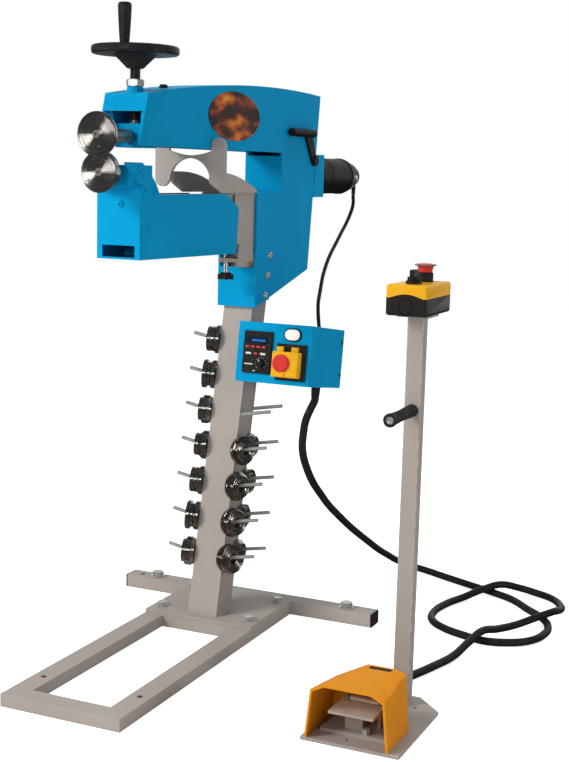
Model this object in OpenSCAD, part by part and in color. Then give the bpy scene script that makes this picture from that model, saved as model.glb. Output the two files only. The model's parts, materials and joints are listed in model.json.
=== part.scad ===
// Motor-driven bead roller on a leaning column, with a foot-pedal stand.
// Millimetres, +Z up, rolls towards -Y, origin on the floor under the rear crossbar, in the machine's middle.

/* [Base] */
// Outer width of the base frame
base_w = 258; // [200:1:360]
// Distance from the crossbar's middle to the front of the base
base_reach = 765; // [650:1:900]
// Width of a leg tube
leg_w = 44; // [36:1:60]
// Height of a leg tube
leg_h = 25; // [20:1:40]
// Wall of the base tubes
tube_wall = 3; // [2:0.5:5]
// Distance from the crossbar's middle to the front of the inner bar
inner_bar_reach = 232; // [215:1:300]
// Anchor hole in each leg
anchor_d = 13; // [8:0.5:18]
// Distance from the crossbar's middle to the anchor holes
anchor_reach = 655; // [450:1:690]
// Length of the rear crossbar
cross_len = 624; // [610:1:800]
// Place of the crossbar's middle, to the right of the machine's middle
cross_shift = 12; // [0:1:18]
// Depth of the rear crossbar
cross_w = 44; // [36:1:60]
// Height of the rear crossbar
cross_h = 30; // [24:1:45]
// Length of a rubber end plug outside the crossbar
plug_t = 4; // [2:0.5:20]
// Place of the levelling bolt on the left
left_bolt_x = 228; // [180:1:245]
// Place of the levelling bolt on the right
right_bolt_x = 258; // [180:1:285]
// Place of the anchor hole in the crossbar, on the left
cross_hole_x = 268; // [255:1:285]
// Thickness of the column's base plate
base_plate_t = 8; // [5:1:15]
// Distance of the front base plate bolts from the crossbar's middle
bolt_front = 195; // [170:1:205]
// Distance of the rear base plate bolts from the crossbar's middle
bolt_rear = 44; // [40:1:60]

/* [Column] */
// Side of the square column tube
col_w = 70; // [60:1:74]
// Wall of the column tube
col_wall = 4; // [3:0.5:8]
// Backward lean of the column in degrees
col_lean = 12.6; // [8:0.2:16]
// Distance of the column's foot in front of the crossbar's middle
foot_reach = 173; // [150:1:178]
// Length of the gusset behind the column's foot
gusset_len = 56; // [30:1:65]
// Height of the gusset
gusset_h = 62; // [30:1:90]
// Thickness of the gusset
gusset_t = 8; // [5:1:15]

/* [Die storage] */
// Diameter of a storage peg
peg_d = 8; // [6:0.5:12]
// Length of a storage peg outside the column
peg_len = 72; // [64:1:90]
// Upward tilt of the pegs in degrees
peg_tilt = 10; // [5:0.5:15]
// Distance between two levels of pegs along the column
peg_pitch = 79; // [70:1:80]
// Distance between the front and the rear peg of a level
peg_spread = 58; // [54:1:60]
// Distance of the left pegs in front of the column's middle
left_peg_fwd = 24; // [10:1:28]
// Height of the rear pegs above the front pegs on the right
peg_stagger = 17; // [10:1:22]
// Levels of pegs on the left
left_levels = 7; // [3:1:7]
// Levels of pegs on the right
right_levels = 5; // [2:1:5]
// Distance from the base plate to the top left level, along the column
left_top = 598; // [560:1:600]
// Distance from the base plate to the top right level, along the column
right_top = 455; // [420:1:455]
// Bore of every roll
die_bore = 22; // [18:0.5:26]
// Diameter of a stored roll
die_d = 64; // [50:1:66]
// Width of a stored roll on the left
die_t = 28; // [22:1:30]
// Width of a stored roll at the right front
turned_die_t = 20; // [16:1:22]
// Largest turn of the stored rolls at the left and at the right front, in degrees
die_yaw = 24; // [0:1:28]
// Diameter of a stored roll at the right rear
rear_die_d = 54; // [46:1:56]
// Width of a stored roll at the right rear
rear_die_t = 15; // [12:1:16]

/* [Head] */
// Height of the lower roll's axis above the floor
axis_h = 988; // [950:1:1100]
// Distance between the roll axes with the rolls closed
roll_gap = 67; // [64:0.5:70]
// Outer width of the head and of the lower arm
head_w = 92; // [90:1:110]
// Thickness of the painted plates
plate_t = 5; // [3:0.5:6]
// Distance from the column to the front of the upper arm
arm_reach = 564; // [540:1:590]
// Height of the upper arm's underside above the lower roll's axis
arm_under = 50; // [46:1:54]
// Height of the upper arm's front top corner above the lower roll's axis
arm_nose_top = 145; // [140:1:152]
// Backward slant of the upper arm's front edge
nose_rake = 30; // [10:1:40]
// Height of the head's rear top corner above the lower roll's axis
head_top = 186; // [175:1:200]
// Rise of the crowned top edge above its chord
crown = 19.5; // [5:0.5:30]
// Distance from the column to the throat's back wall
throat_back = 65; // [60:1:100]
// Distance from the column to the head's rear top corner
rear_top = 274; // [262:1:300]
// Distance from the column to the head's rear bottom corner
rear_bot = 224; // [215:1:245]
// Drop of the rear bottom corner below the lower roll's axis
rear_drop = 219; // [205:1:235]
// Drop of the socket's front bottom corner below the lower roll's axis
socket_drop = 288; // [284:1:305]
// Distance from the column to the socket's front
socket_front = 61; // [58:1:66]
// Height of the socket's front plate
socket_plate_h = 87; // [60:1:95]
// Bolts through the socket
socket_bolt_d = 10; // [8:1:14]
// Distance between two socket bolts
socket_bolt_pitch = 44; // [36:1:46]

/* [Lower arm] */
// Distance from the column to the lower arm's front plate
low_reach = 560; // [545:1:575]
// Drop of the lower arm's top edge below the lower roll's axis
low_top = 40; // [34:1:44]
// Drop of the lower arm's bottom edge below the lower roll's axis
low_bot = 160; // [158:1:175]
// Distance from the column to the lower arm's rear end
low_rear = 149; // [120:1:160]
// Rise of the nose cheeks above the lower roll's axis
cheek_top = 19; // [16:1:24]
// Length of the nose cheeks in front of the front plate
cheek_out = 49; // [40:1:50]
// Width of the spine tube inside the lower arm
spine_w = 68; // [60:1:68]
// Wall of the spine tube
spine_wall = 6; // [4:0.5:10]
// Height of the window at the foot of the front plate
window_h = 22; // [12:1:40]

/* [Rolls and shafts] */
// Diameter of the roll shafts
shaft_d = 25; // [22:0.5:28]
// Diameter of the upper roll's front flange
flange_d = 81; // [74:1:84]
// Width of the upper roll's front flange
flange_t = 8; // [5:0.5:12]
// Width of the upper roll
roll_t = 24; // [20:1:30]
// Diameter of the lower roll
low_roll_d = 75; // [68:1:76]
// Radial gap between the closed rolls
nip = 0.3; // [0.2:0.1:1]
// Distance of the upper roll's front face in front of the lower arm's front plate
roll_out = 78; // [70:1:90]
// Teeth of the motor gear and of the upper gear
gear_teeth = 22; // [18:2:26]
// Width of the gears
gear_t = 30; // [20:1:34]
// Diameter of the motor's output shaft
motor_shaft_d = 16; // [12:1:20]
// Distance from the column to the upper shaft's tilting bearing
tilt_back = 204; // [200:1:215]

/* [Adjusting screw] */
// Diameter of the adjusting screw
screw_d = 20; // [14:1:22]
// Distance from the column to the adjusting screw
screw_reach = 503; // [495:1:510]
// Width across the flats of the lock nut
nut_af = 30; // [26:1:34]
// Diameter of the handwheel
wheel_d = 164; // [140:1:200]
// Height of the handwheel's rim
wheel_rim_h = 16; // [14:1:26]
// Height of the handwheel's middle above the lower roll's axis
wheel_up = 224; // [218:1:240]
// Length of the handwheel's handle
handle_len = 72; // [50:1:95]
// Largest diameter of the handwheel's handle
handle_d = 25; // [20:1:32]
// Distance of the handle from the handwheel's middle
handle_r = 56; // [50:1:62]
// Place of the handle round the handwheel in degrees
handle_turn = -80; // [-180:1:180]

/* [Gauge] */
// Distance from the column to the fence
fence_reach = 281; // [265:1:300]
// Thickness of the fence
fence_t = 8; // [5:1:12]
// Half of the clear width between the fence's bars
fence_in = 48; // [47.5:0.5:56]
// Width of a fence bar
bar_w = 32; // [20:1:40]
// Height of the fence bars
bar_h = 99; // [80:1:110]
// Thickness of the gauge's side cheeks
ear_t = 4; // [3:0.5:4.5]
// Radius of the rounded top of the side cheeks
ear_r = 426; // [420:1:600]
// Diameter of the gauge's clamp screw
clamp_d = 10; // [6:1:14]
// Diameter of the clamp screw's knob
clamp_knob_d = 38; // [24:1:50]

/* [Motor] */
// Diameter of the gear motor
motor_d = 90; // [70:1:94]
// Length of the gearbox
gearbox_len = 81; // [50:1:110]
// Length of the motor body
motor_len = 181; // [120:1:200]
// Length of the motor's end cap
cap_len = 36; // [28:1:70]
// Diameter of the motor's end cap
cap_d = 53; // [46:1:64]

/* [Controls] */
// Width of the control box
box_w = 172; // [165:1:200]
// Height of the control box
box_h = 130; // [125:1:150]
// Depth of the control box
box_d = 187; // [150:1:220]
// Height of the control box's front bottom edge above the floor
box_z = 547; // [535:1:560]
// Backward lean of the control box in degrees
box_lean = 8.3; // [4:0.1:14]
// Distance of the control box's front in front of the column's middle
box_fwd = 82; // [70:1:95]
// Wall of the control box
box_wall = 2; // [1.5:0.5:4]
// Width of the inverter's front
inv_w = 66; // [50:1:70]
// Height of the inverter's front
inv_h = 90; // [70:1:96]
// Diameter of the speed knob
speed_knob_d = 18; // [12:1:24]
// Width of the power switch's plate
sw_w = 70; // [60:1:72]
// Height of the power switch's plate
sw_h = 78; // [66:1:82]
// Thickness of the power switch's flap
flap_t = 18; // [10:1:24]
// Diameter of the stop pad on the flap
pad_d = 38; // [24:1:44]
// Diameter of the lever's grip
lever_grip_d = 18; // [12:1:24]
// Length of the lever's grip
lever_grip_len = 122; // [80:1:130]

/* [Pedal stand] */
// Place of the post, to the right of the machine's middle
stand_x = 536; // [500:1:600]
// Place of the post, in front of the crossbar's middle
stand_reach = 408; // [380:1:440]
// Thickness of the stand's plate
stand_plate_t = 6; // [4:0.5:10]
// Width of the post
post_w = 32; // [25:1:40]
// Depth of the post
post_d = 24; // [20:1:32]
// Height of the post's top above the floor
post_h = 744; // [600:1:850]
// Height of the grip on the post
grip_h = 572; // [400:1:590]
// Length of the grip on the post
grip_len = 122; // [90:1:140]
// Diameter of the grip on the post
grip_d = 22; // [16:1:28]
// Width of the control station
station_w = 78; // [66:1:90]
// Length of the control station
station_len = 140; // [130:1:160]
// Height of the control station's base
station_base_h = 35; // [28:1:45]
// Height of the control station's lid
station_lid_h = 21; // [14:1:30]
// Diameter of the emergency stop's head
estop_d = 40; // [30:1:44]
// Travel of the emergency stop
estop_travel = 5; // [3:0.5:7]
// Wall of the pedal's guard
guard_wall = 4; // [3:0.5:6]
// Width of the treadle
treadle_w = 86; // [70:1:90]
// Length of the treadle in front of its pin
treadle_len = 74; // [60:1:80]

/* [Clearances] */
// Radial clearance of a running shaft
run_fit = 0.05; // [0.02:0.01:0.1]
// Gap between pieces that move past each other
slide_gap = 0.5; // [0.3:0.1:1]

/* [Hidden] */
$fn = 48;

grey = "#b5aea6";
blue = "#1584c4";
steel = "#c8c8c6";
black = "#232323";
yellow = "#f0a21c";
red = "#d62a2c";

// Where the column and the head stand
foot_z = leg_h + base_plate_t;
lean_slope = tan(col_lean);
socket_mid_drop = 221;
head_y = -foot_reach + (axis_h - socket_mid_drop - foot_z) * lean_slope;
half_w = head_w / 2;
roll_reach = low_reach + roll_out;
in_w = half_w - plate_t;
col_half_y = col_w / 2 / cos(col_lean);
col_top_drop = 172;
spine_top = low_top + 2;
spine_bot = low_bot - 4;
step_drop = low_top - 3;

// Y of the upper arm's slanted front edge at height z above the roll axis
function nose_y(z) = -arm_reach + nose_rake * (z - arm_under) / (arm_nose_top - arm_under);
// Point of the crowned top edge, t from 0 at the front to 1 at the rear
function top_pt(t) = [
  nose_y(arm_nose_top) + t * (rear_top - nose_y(arm_nose_top)),
  arm_nose_top + t * (head_top - arm_nose_top) + 4 * crown * t * (1 - t)];
function top_t(y) = (y - nose_y(arm_nose_top)) / (rear_top - nose_y(arm_nose_top));
// Y of the straight rear edge at height z
function rear_y(z) = rear_bot + (z + rear_drop) * (rear_top - rear_bot) / (head_top + rear_drop);
top_steps = 24;
cap_back = -455;

// A flat outline given as y, z points, extruded across x from x0 to x1
module across(x0, x1) translate([x0, 0, 0]) rotate([90, 0, 90]) linear_extrude(x1 - x0) children();
// A flat outline given as x, z points, extruded along y from y0 to y1
module along(y0, y1) translate([0, y1, 0]) rotate([90, 0, 0]) linear_extrude(y1 - y0) children();
module ycyl(r, y0, y1) translate([0, y1, 0]) rotate([90, 0, 0]) cylinder(h = y1 - y0, r = r);
module xcyl(r, x0, x1) translate([x0, 0, 0]) rotate([0, 90, 0]) cylinder(h = x1 - x0, r = r);
module both_sides() { children(); mirror([1, 0, 0]) children(); }
module on_column() translate([0, -foot_reach, foot_z]) rotate([-col_lean, 0, 0]) children();
module on_box() translate([0, col_y(box_z) - box_fwd, box_z]) rotate([-box_lean, 0, 0]) children();
module on_head() translate([0, head_y, axis_h]) children();
module on_stand() translate([stand_x, -stand_reach, 0]) children();
module box_tube(w, l, h, wall) difference() {
  translate([-w / 2, 0, 0]) cube([w, l, h]);
  translate([-w / 2 + wall, -1, wall]) cube([w - 2 * wall, l + 2, h - 2 * wall]);
}
module hex_bolt(af, head_h, shank_d, shank_len) {
  cylinder(h = head_h, r = af / 2 / cos(30), $fn = 6);
  translate([0, 0, -shank_len]) cylinder(h = shank_len, d = shank_d);
}

// Base
leg_x = base_w / 2 - leg_w / 2;
front_bar_w = leg_w - 2;
module base_frame() color(grey) difference() {
  union() {
    translate([-base_w / 2, -base_reach, 0]) difference() {
      cube([base_w, front_bar_w, leg_h]);
      translate([-1, tube_wall, tube_wall])
        cube([base_w + 2, front_bar_w - 2 * tube_wall, leg_h - 2 * tube_wall]);
    }
    for (s = [-1, 1])
      translate([s * leg_x, -base_reach + front_bar_w, 0])
        box_tube(leg_w, base_reach - front_bar_w - cross_w / 2, leg_h, tube_wall);
    translate([-base_w / 2 + leg_w, -inner_bar_reach, 0]) cube([base_w - 2 * leg_w, leg_w, leg_h]);
    for (x = [-base_w / 2, base_w / 2 - tube_wall])
      translate([x, -base_reach, 0]) cube([tube_wall, front_bar_w, leg_h]);
  }
  for (s = [-1, 1]) {
    translate([s * leg_x, -anchor_reach, -1]) cylinder(h = leg_h + 2, d = anchor_d);
    for (y = [bolt_front, bolt_rear])
      translate([s * leg_x, -y, leg_h - tube_wall - 1]) cylinder(h = tube_wall + 2, d =
        base_bolt_d + 0.4);
  }
}
module rear_crossbar() color(grey) difference() {
  translate([cross_shift, -cross_w / 2, 0]) rotate([0, 0, -90]) translate([-cross_w / 2, -cross_len / 2, 0])
    box_tube(cross_w, cross_len, cross_h, tube_wall);
  for (x = [-left_bolt_x, right_bolt_x])
    translate([x, 0, -1]) cylinder(h = cross_h + 2, d = level_bolt_d + 0.4);
  translate([-cross_hole_x, 0, -1]) cylinder(h = cross_h + 2, d = anchor_d);
}
plug_depth = 12;
module crossbar_plugs() color(black) translate([cross_shift, 0, 0]) both_sides() {
  translate([cross_len / 2, -cross_w / 2, 0]) cube([plug_t, cross_w, cross_h]);
  translate([cross_len / 2 - plug_depth, -cross_w / 2 + tube_wall + 0.2, tube_wall + 0.2])
    cube([plug_depth, cross_w - 2 * tube_wall - 0.4, cross_h - 2 * tube_wall - 0.4]);
}
level_bolt_d = 16;
plate_front = inner_bar_reach - 2;
module column_base_plate() color(grey) difference() {
  translate([-base_w / 2, -plate_front, leg_h]) cube([base_w, plate_front - cross_w / 2, base_plate_t]);
  for (s = [-1, 1], y = [bolt_front, bolt_rear])
    translate([s * leg_x, -y, leg_h - 1]) cylinder(h = base_plate_t + 2, d = base_bolt_d + 0.4);
}
base_bolt_d = 12;
module washer_bolt(washer_d, washer_t, af, head_h, shank_d, depth) {
  cylinder(h = washer_t, d = washer_d);
  translate([0, 0, washer_t]) hex_bolt(af, head_h, shank_d, depth + washer_t);
}
module base_bolts() color(steel) {
  for (s = [-1, 1], y = [bolt_front, bolt_rear])
    translate([s * leg_x, -y, foot_z]) washer_bolt(24, 2.5, 19, 8, base_bolt_d,
      base_plate_t + tube_wall + 2);
  for (x = [-left_bolt_x, right_bolt_x])
    translate([x, 0, cross_h]) washer_bolt(34, 3, 24, 10, level_bolt_d, cross_h - 2);
}

// Column
col_top_z = axis_h - col_top_drop;
function col_y(z) = -foot_reach + (z - foot_z) * lean_slope;
module column_outline(half) polygon([[col_y(foot_z) - half, foot_z], [col_y(foot_z) + half, foot_z],
  [col_y(col_top_z) + half, col_top_z], [col_y(col_top_z) - half, col_top_z]]);
module column() color(grey) difference() {
  union() {
    across(-col_w / 2, col_w / 2) column_outline(col_half_y);
    column_gusset();
  }
  across(-col_w / 2 + col_wall, col_w / 2 - col_wall)
    polygon([[col_y(foot_z - 1) - col_half_y + col_wall, foot_z - 1],
      [col_y(foot_z - 1) + col_half_y - col_wall, foot_z - 1],
      [col_y(col_top_z + 1) + col_half_y - col_wall, col_top_z + 1],
      [col_y(col_top_z + 1) - col_half_y + col_wall, col_top_z + 1]]);
  for (i = [-1:1]) translate([0, col_y(bolt_z(i)), bolt_z(i)]) xcyl(socket_bolt_d / 2 + 0.2, -col_w,
    col_w);
  on_column() peg_places() xcyl(peg_d / 2 + 0.05, -col_wall * 2, 1);
}
function bolt_z(i) = axis_h - socket_mid_drop + i * socket_bolt_pitch;
module column_gusset() across(-gusset_t / 2, gusset_t / 2) polygon([
  [col_y(foot_z) + col_half_y - 1, foot_z],
  [col_y(foot_z) + col_half_y + gusset_len, foot_z],
  [col_y(foot_z + gusset_h) + col_half_y - 1, foot_z + gusset_h]]);

// Die storage: pegs point outwards and up, the rolls hang upright on them by their bores
module left_spot(i) translate([-col_w / 2, -left_peg_fwd, left_top - i * peg_pitch])
  mirror([1, 0, 0]) children();
// Right pegs come in pairs, the rear one (s = 1) higher than the front one (s = 0)
module right_spot(i, s)
  translate([col_w / 2, (s - 0.5) * peg_spread, right_top - i * peg_pitch - (1 - s) * peg_stagger])
    children();
module peg_places() {
  for (i = [0:left_levels - 1]) left_spot(i) rotate([0, -peg_tilt, 0]) children();
  for (i = [0:right_levels - 1], s = [0, 1]) right_spot(i, s) rotate([0, -peg_tilt, 0]) children();
}
module die_pegs() color(steel) on_column() peg_places() xcyl(peg_d / 2, -col_wall, peg_len);
// Play of a peg in a bore, the turn that it allows a roll of width t, and how far that roll hangs down
play = die_bore / 2 - peg_d * 0.55 - 0.4;
function turn_of(t, most) = min(most, atan(1.5 * play / t));
function hang_of(t, turn) = sqrt(play * play - pow(t / 2 * tan(turn), 2)) - t / 2 * tan(peg_tilt);
// Distance from the column to the middle of a turned roll whose peg stands edge from the column's front
function out_of(t, turn, edge) = (t / 2 + edge * sin(turn)) / cos(turn) + hang_gap;
hang_gap = 1.5;
// Outline of a stored roll, radius against width: kind 0 flange, 1 groove, 2 step, 3 vee
module die_outline(kind, d, t) {
  r = d / 2;
  b = die_bore / 2;
  if (kind == 0)
    polygon([[b, 0], [r, 0], [r, t * 0.3], [r - 4, t * 0.34], [r - 4, t - 1.5], [r - 5.5, t], [b, t]]);
  if (kind == 1)
    polygon([[b, 0], [r, 0], [r, t * 0.3], [r - 5, t * 0.4], [r - 5, t * 0.6], [r, t * 0.7], [r, t],
      [b, t]]);
  if (kind == 2)
    polygon([[b, 0], [r - 4, 0], [r, t * 0.25], [r, t * 0.7], [r - 6, t * 0.7], [r - 6, t], [b, t]]);
  if (kind == 3)
    polygon([[b, 0], [r, 0], [r, t * 0.35], [r - 7, t * 0.65], [r - 7, t - 1], [r - 8, t], [b, t]]);
}
module hung_die(kind, d, t, turn, edge) {
  out = out_of(t, turn, edge);
  translate([out, 0, out * tan(peg_tilt) - hang_of(t, turn)]) rotate([0, 0, -turn]) rotate([0, 90, 0])
    translate([0, 0, -t / 2]) rotate_extrude($fn = 64) die_outline(kind, d, t);
}
module stored_dies_left() color(steel) on_column()
  for (i = [0:left_levels - 1]) left_spot(i)
    hung_die(i % 4, die_d, die_t, turn_of(die_t, die_yaw), col_w / 2 - left_peg_fwd);
module stored_dies_right() color(steel) on_column()
  for (i = [1:right_levels - 1]) {
    right_spot(i, 0) hung_die((i + 1) % 4, die_d, turned_die_t, turn_of(turned_die_t, die_yaw),
      (col_w - peg_spread) / 2);
    right_spot(i, 1) hung_die((i + 3) % 4, rear_die_d, rear_die_t, 0, 0);
  }

// Head
socket_back = 15;
socket_back_drop = socket_drop - 10;
module head_profile() polygon(concat(
  [[-socket_front, -socket_drop], [-socket_front, -step_drop], [throat_back, -step_drop],
    [throat_back, arm_under], [-arm_reach, arm_under]],
  [for (i = [0:top_steps]) top_pt(i / top_steps)],
  [[rear_bot, -rear_drop], [-socket_back, -socket_back_drop]]));
lever_y = 240;
lever_z = 35;
lever_pin_d = 10;
module head_side(s) color(blue) on_head() difference() {
  across(s > 0 ? in_w : -half_w, s > 0 ? half_w : -in_w) head_profile();
  for (i = [-1:1]) translate([0, col_y(bolt_z(i)) - head_y, bolt_z(i) - axis_h])
    xcyl(socket_bolt_d / 2 + 0.2, -half_w - 1, half_w + 1);
  if (s > 0) translate([0, lever_y, lever_z]) xcyl(lever_pin_d / 2 + run_fit, 0, half_w + 1);
}
module head_side_left() head_side(-1);
module head_side_right() head_side(1);
cover_t = 3;
cover_under = head_top - cover_t - 1;
module head_top_cover() color(blue) on_head() across(-in_w, in_w) polygon(concat(
  [for (i = [0:top_steps]) top_pt(top_t(cap_back) + (1 - top_t(cap_back)) * i / top_steps)],
  [for (i = [top_steps:-1:0])
    top_pt(top_t(cap_back) + (1 - top_t(cap_back)) * i / top_steps) - [0, cover_t]]));
opening_top = 112;
bridge_t = 24;
guide_in = 30;
boss_top = 158;
boss_d = 31;
cap_steps = 4;
guide_len = 60;
module head_front_cap() color(blue) on_head() difference() {
  union() {
    across(-in_w, in_w) polygon(concat(
      [[nose_y(opening_top), opening_top]],
      [for (i = [0:cap_steps]) top_pt(top_t(cap_back) * i / cap_steps)],
      [[cap_back, top_pt(top_t(cap_back))[1] - bridge_t], [nose_y(arm_nose_top) + 8,
        arm_nose_top - bridge_t],
        [nose_y(opening_top) + 8, opening_top]]));
    translate([0, -screw_reach, arm_nose_top - bridge_t / 2]) cylinder(h =
      boss_top - arm_nose_top + bridge_t / 2, d = boss_d);
    both_sides() translate([guide_in, -screw_reach - guide_len / 2, arm_under + 2])
      cube([in_w - guide_in, guide_len, arm_nose_top - bridge_t - arm_under]);
  }
  translate([0, -screw_reach, 0]) cylinder(h = wheel_up, d = screw_d + 2 * run_fit);
}
bearing_r = shaft_d / 2 + 9.5;
bearing_t = 16;
bearing_plate_t = 12;
bearing_plate_h = 66;
throat_slot = 7;
module head_cross_plates() color(blue) on_head() {
  translate([-in_w, throat_back, -step_drop]) cube([2 * in_w, plate_t, step_drop + arm_under - throat_slot]);
  translate([-in_w, -socket_front + plate_t, -step_drop - plate_t])
    cube([2 * in_w, throat_back + socket_front - plate_t, plate_t]);
  difference() {
    translate([-in_w, tilt_back - bearing_plate_t / 2, roll_gap - bearing_plate_h / 2]) cube([2 * in_w,
      bearing_plate_t, bearing_plate_h]);
    translate([0, 0, roll_gap]) ycyl(bearing_r + 0.3, tilt_back - 20, tilt_back + 20);
  }
}
module rear_cover() color(blue) on_head() difference() {
  across(-in_w, in_w) polygon([
    [rear_y(cover_under), cover_under], [rear_bot, -rear_drop],
    [col_y(axis_h - socket_back_drop) - head_y + col_half_y + 8,
      -floor_drop(col_y(axis_h - socket_back_drop) - head_y + col_half_y + 8)],
    [col_y(axis_h - socket_back_drop) - head_y + col_half_y + 8,
      -floor_drop(col_y(axis_h - socket_back_drop) - head_y + col_half_y + 8) + plate_t],
    [rear_bot - plate_t, -rear_drop + plate_t], [rear_y(cover_under) - plate_t, cover_under]]);
  ycyl(motor_shaft_d / 2 + 4, rear_bot - 20, rear_top + 20);
}
// Drop of the head's slanted underside below the roll axis at distance y behind the column
function floor_drop(y) = rear_drop + (rear_bot - y) * (socket_back_drop - rear_drop) / (rear_bot + socket_back);
packer_h = 112;
module column_socket() color(blue) {
  on_head() translate([-in_w, -socket_front, -socket_drop]) cube([2 * in_w, plate_t, socket_plate_h]);
  both_sides() difference() {
    across(col_w / 2, in_w) polygon([
      for (c = [[-1, -1], [1, -1], [1, 1], [-1, 1]])
        [col_y(bolt_z(0) + c[1] * packer_h / 2) + c[0] * (col_half_y - 2),
          bolt_z(0) + c[1] * packer_h / 2]]);
    for (i = [-1:1]) translate([0, col_y(bolt_z(i)), bolt_z(i)]) xcyl(socket_bolt_d / 2 + 0.2, 0,
      half_w + 1);
  }
}
// Button head screw along x at the right side, head outside x0
module side_screw(x0, d, depth) {
  xcyl(d * 0.85, x0, x0 + d * 0.5);
  xcyl(d / 2, x0 - depth, x0);
}
arm_screw_d = 8;
nose_screw = 10;
screw_row = 32;
low_screw = 103;
screw_in = [12, 54, 31];
arm_screws = [[-low_reach - nose_screw, 1], [-low_reach + screw_in[0], -screw_row],
  [-low_reach + screw_in[1], -screw_row], [-low_reach + screw_in[2], -low_screw]];
arm_screw_depth = plate_t + 2;
module frame_screws() color(steel) {
  for (i = [-1:1]) translate([0, col_y(bolt_z(i)), bolt_z(i)])
    both_sides() side_screw(half_w, socket_bolt_d, half_w - col_w / 2 + col_wall + 2);
  on_head() for (p = arm_screws) translate([0, p[0], p[1]]) both_sides() side_screw(half_w,
    arm_screw_d, arm_screw_depth);
}

// Lower arm
spine_back = 58;
pad_front = low_reach - plate_t - 58;
module arm_spine() color(grey) on_head() difference() {
  union() {
    difference() {
      translate([-spine_w / 2, -low_reach + plate_t, -spine_bot])
        cube([spine_w, low_reach - plate_t + spine_back, spine_bot - spine_top]);
      translate([-spine_w / 2 + spine_wall, -low_reach, -spine_bot + spine_wall])
        cube([spine_w - 2 * spine_wall, low_reach + spine_back + 1,
          spine_bot - spine_top - 2 * spine_wall]);
    }
    both_sides() {
      translate([spine_w / 2, -spine_back, -spine_bot]) cube([in_w - spine_w / 2, 2 * spine_back,
        spine_bot - spine_top]);
      translate([spine_w / 2, -low_reach + plate_t, -spine_bot + 38])
        cube([in_w - spine_w / 2, low_reach - plate_t - pad_front, spine_bot - spine_top - 38]);
    }
  }
  for (p = arm_screws) translate([0, p[0], p[1]]) both_sides() xcyl(arm_screw_d / 2 + 0.1,
    half_w - arm_screw_depth - 1, half_w);
  translate([-spine_w / 2 - 1, -low_reach, -spine_bot - 1]) cube([spine_w + 2, window_deep, window_h + 9]);
}
window_deep = 90;
module arm_profile() polygon([
  [-low_reach + plate_t, -low_bot], [-low_reach + plate_t, -24],
  [-low_reach - cheek_out, cheek_top - 3], [-low_reach - cheek_out, cheek_top],
  [-low_reach + 9, cheek_top], [-low_reach + 40, cheek_top - 21], [-low_reach + 59, cheek_top - 37],
  [-low_reach + 74, -low_top], [-low_rear - 61, -low_top], [-low_rear, -low_top - 29],
  [-low_rear - 9, -low_bot - 5], [-low_rear - 178, -low_bot - 3]]);
module arm_side(s) color(blue) on_head() difference() {
  across(s > 0 ? in_w : -half_w, s > 0 ? half_w : -in_w) arm_profile();
  for (p = arm_screws) translate([0, p[0], p[1]]) xcyl(arm_screw_d / 2 + 0.1, -half_w - 1, half_w + 1);
}
module arm_side_left() arm_side(-1);
module arm_side_right() arm_side(1);
front_plate_top = 24;
module arm_front_plate() color(blue) on_head() difference() {
  translate([-half_w, -low_reach, -low_bot]) cube([head_w, plate_t, low_bot - front_plate_top]);
  translate([-35, -low_reach - 1, -low_bot + 4]) cube([70, plate_t + 2, window_h]);
}
block_len = 53;
block_back = low_reach - block_len;
module roll_bearing_block() color(blue) on_head() difference() {
  union() {
    translate([-in_w, -low_reach - 27, -front_plate_top])
      cube([2 * in_w, low_reach + 27 - block_back, front_plate_top + cheek_top - 5]);
    translate([-in_w, -low_reach + plate_t + 1, -spine_top])
      cube([2 * in_w, low_reach - plate_t - 1 - block_back, spine_top - front_plate_top]);
  }
  ycyl(shaft_d / 2 + run_fit, -low_reach - 40, -block_back + 1);
  for (p = arm_screws) translate([0, p[0], p[1]]) both_sides() xcyl(arm_screw_d / 2 + 0.1,
    half_w - arm_screw_depth - 1, half_w);
}

// Drive
mount_half = 50;
mount_back = 304;
module motor_mount() color(blue) on_head() difference() {
  across(-mount_half + 2, mount_half - 2) polygon([[rear_y(-mount_half), -mount_half], [mount_back,
    -mount_half],
    [mount_back, mount_half], [rear_y(mount_half), mount_half]]);
  ycyl(motor_shaft_d / 2 + 4, rear_bot - 20, mount_back + 1);
}
gearbox_bore_len = 30;
module gearbox() color(black) on_head() difference() {
  ycyl(motor_d / 2, mount_back, mount_back + gearbox_len);
  ycyl(motor_shaft_d / 2 + run_fit, mount_back - 1, mount_back + gearbox_bore_len);
}
motor_end = mount_back + gearbox_len + motor_len;
bell_len = 54;
bell_drop = 9;
module motor_body() color(black) on_head() {
  ycyl(motor_d / 2 - 1.5, mount_back + gearbox_len, motor_end - bell_len - 10);
  ycyl(motor_d / 2, motor_end - bell_len - 10, motor_end - bell_len);
  translate([0, motor_end - bell_len, 0]) rotate([-90, 0, 0]) cylinder(h = bell_len - 4, r1 =
    motor_d / 2, r2 = motor_d / 2 - bell_drop);
  ycyl(motor_d / 2 - bell_drop - 3, motor_end - 4, motor_end);
}
module motor_cap() color(black) on_head() {
  ycyl(cap_d / 2, motor_end, motor_end + cap_len - 6);
  ycyl(cap_d / 2 - 4, motor_end + cap_len - 6, motor_end + cap_len);
}
gear_front = 144;
pitch_r = roll_gap / 2;
tooth = 360 / gear_teeth;
module gear_outline(bore, phase) {
  m = roll_gap / gear_teeth;
  difference() {
    polygon([for (i = [0:gear_teeth - 1], k = [[-0.34, -1.15], [-0.13, 0.7], [0.13, 0.7], [0.34,
      -1.15]])
      let (a = (i + phase + k[0]) * tooth, r = pitch_r + k[1] * m) [r * cos(a), r * sin(a)]]);
    if (bore > 0) circle(d = bore);
  }
}
module motor_gear() color(steel) on_head() {
  along(gear_front, gear_front + gear_t) rotate(90) gear_outline(0, 0);
  ycyl(motor_shaft_d / 2, gear_front - 10, mount_back + gearbox_bore_len - 1);
}
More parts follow.
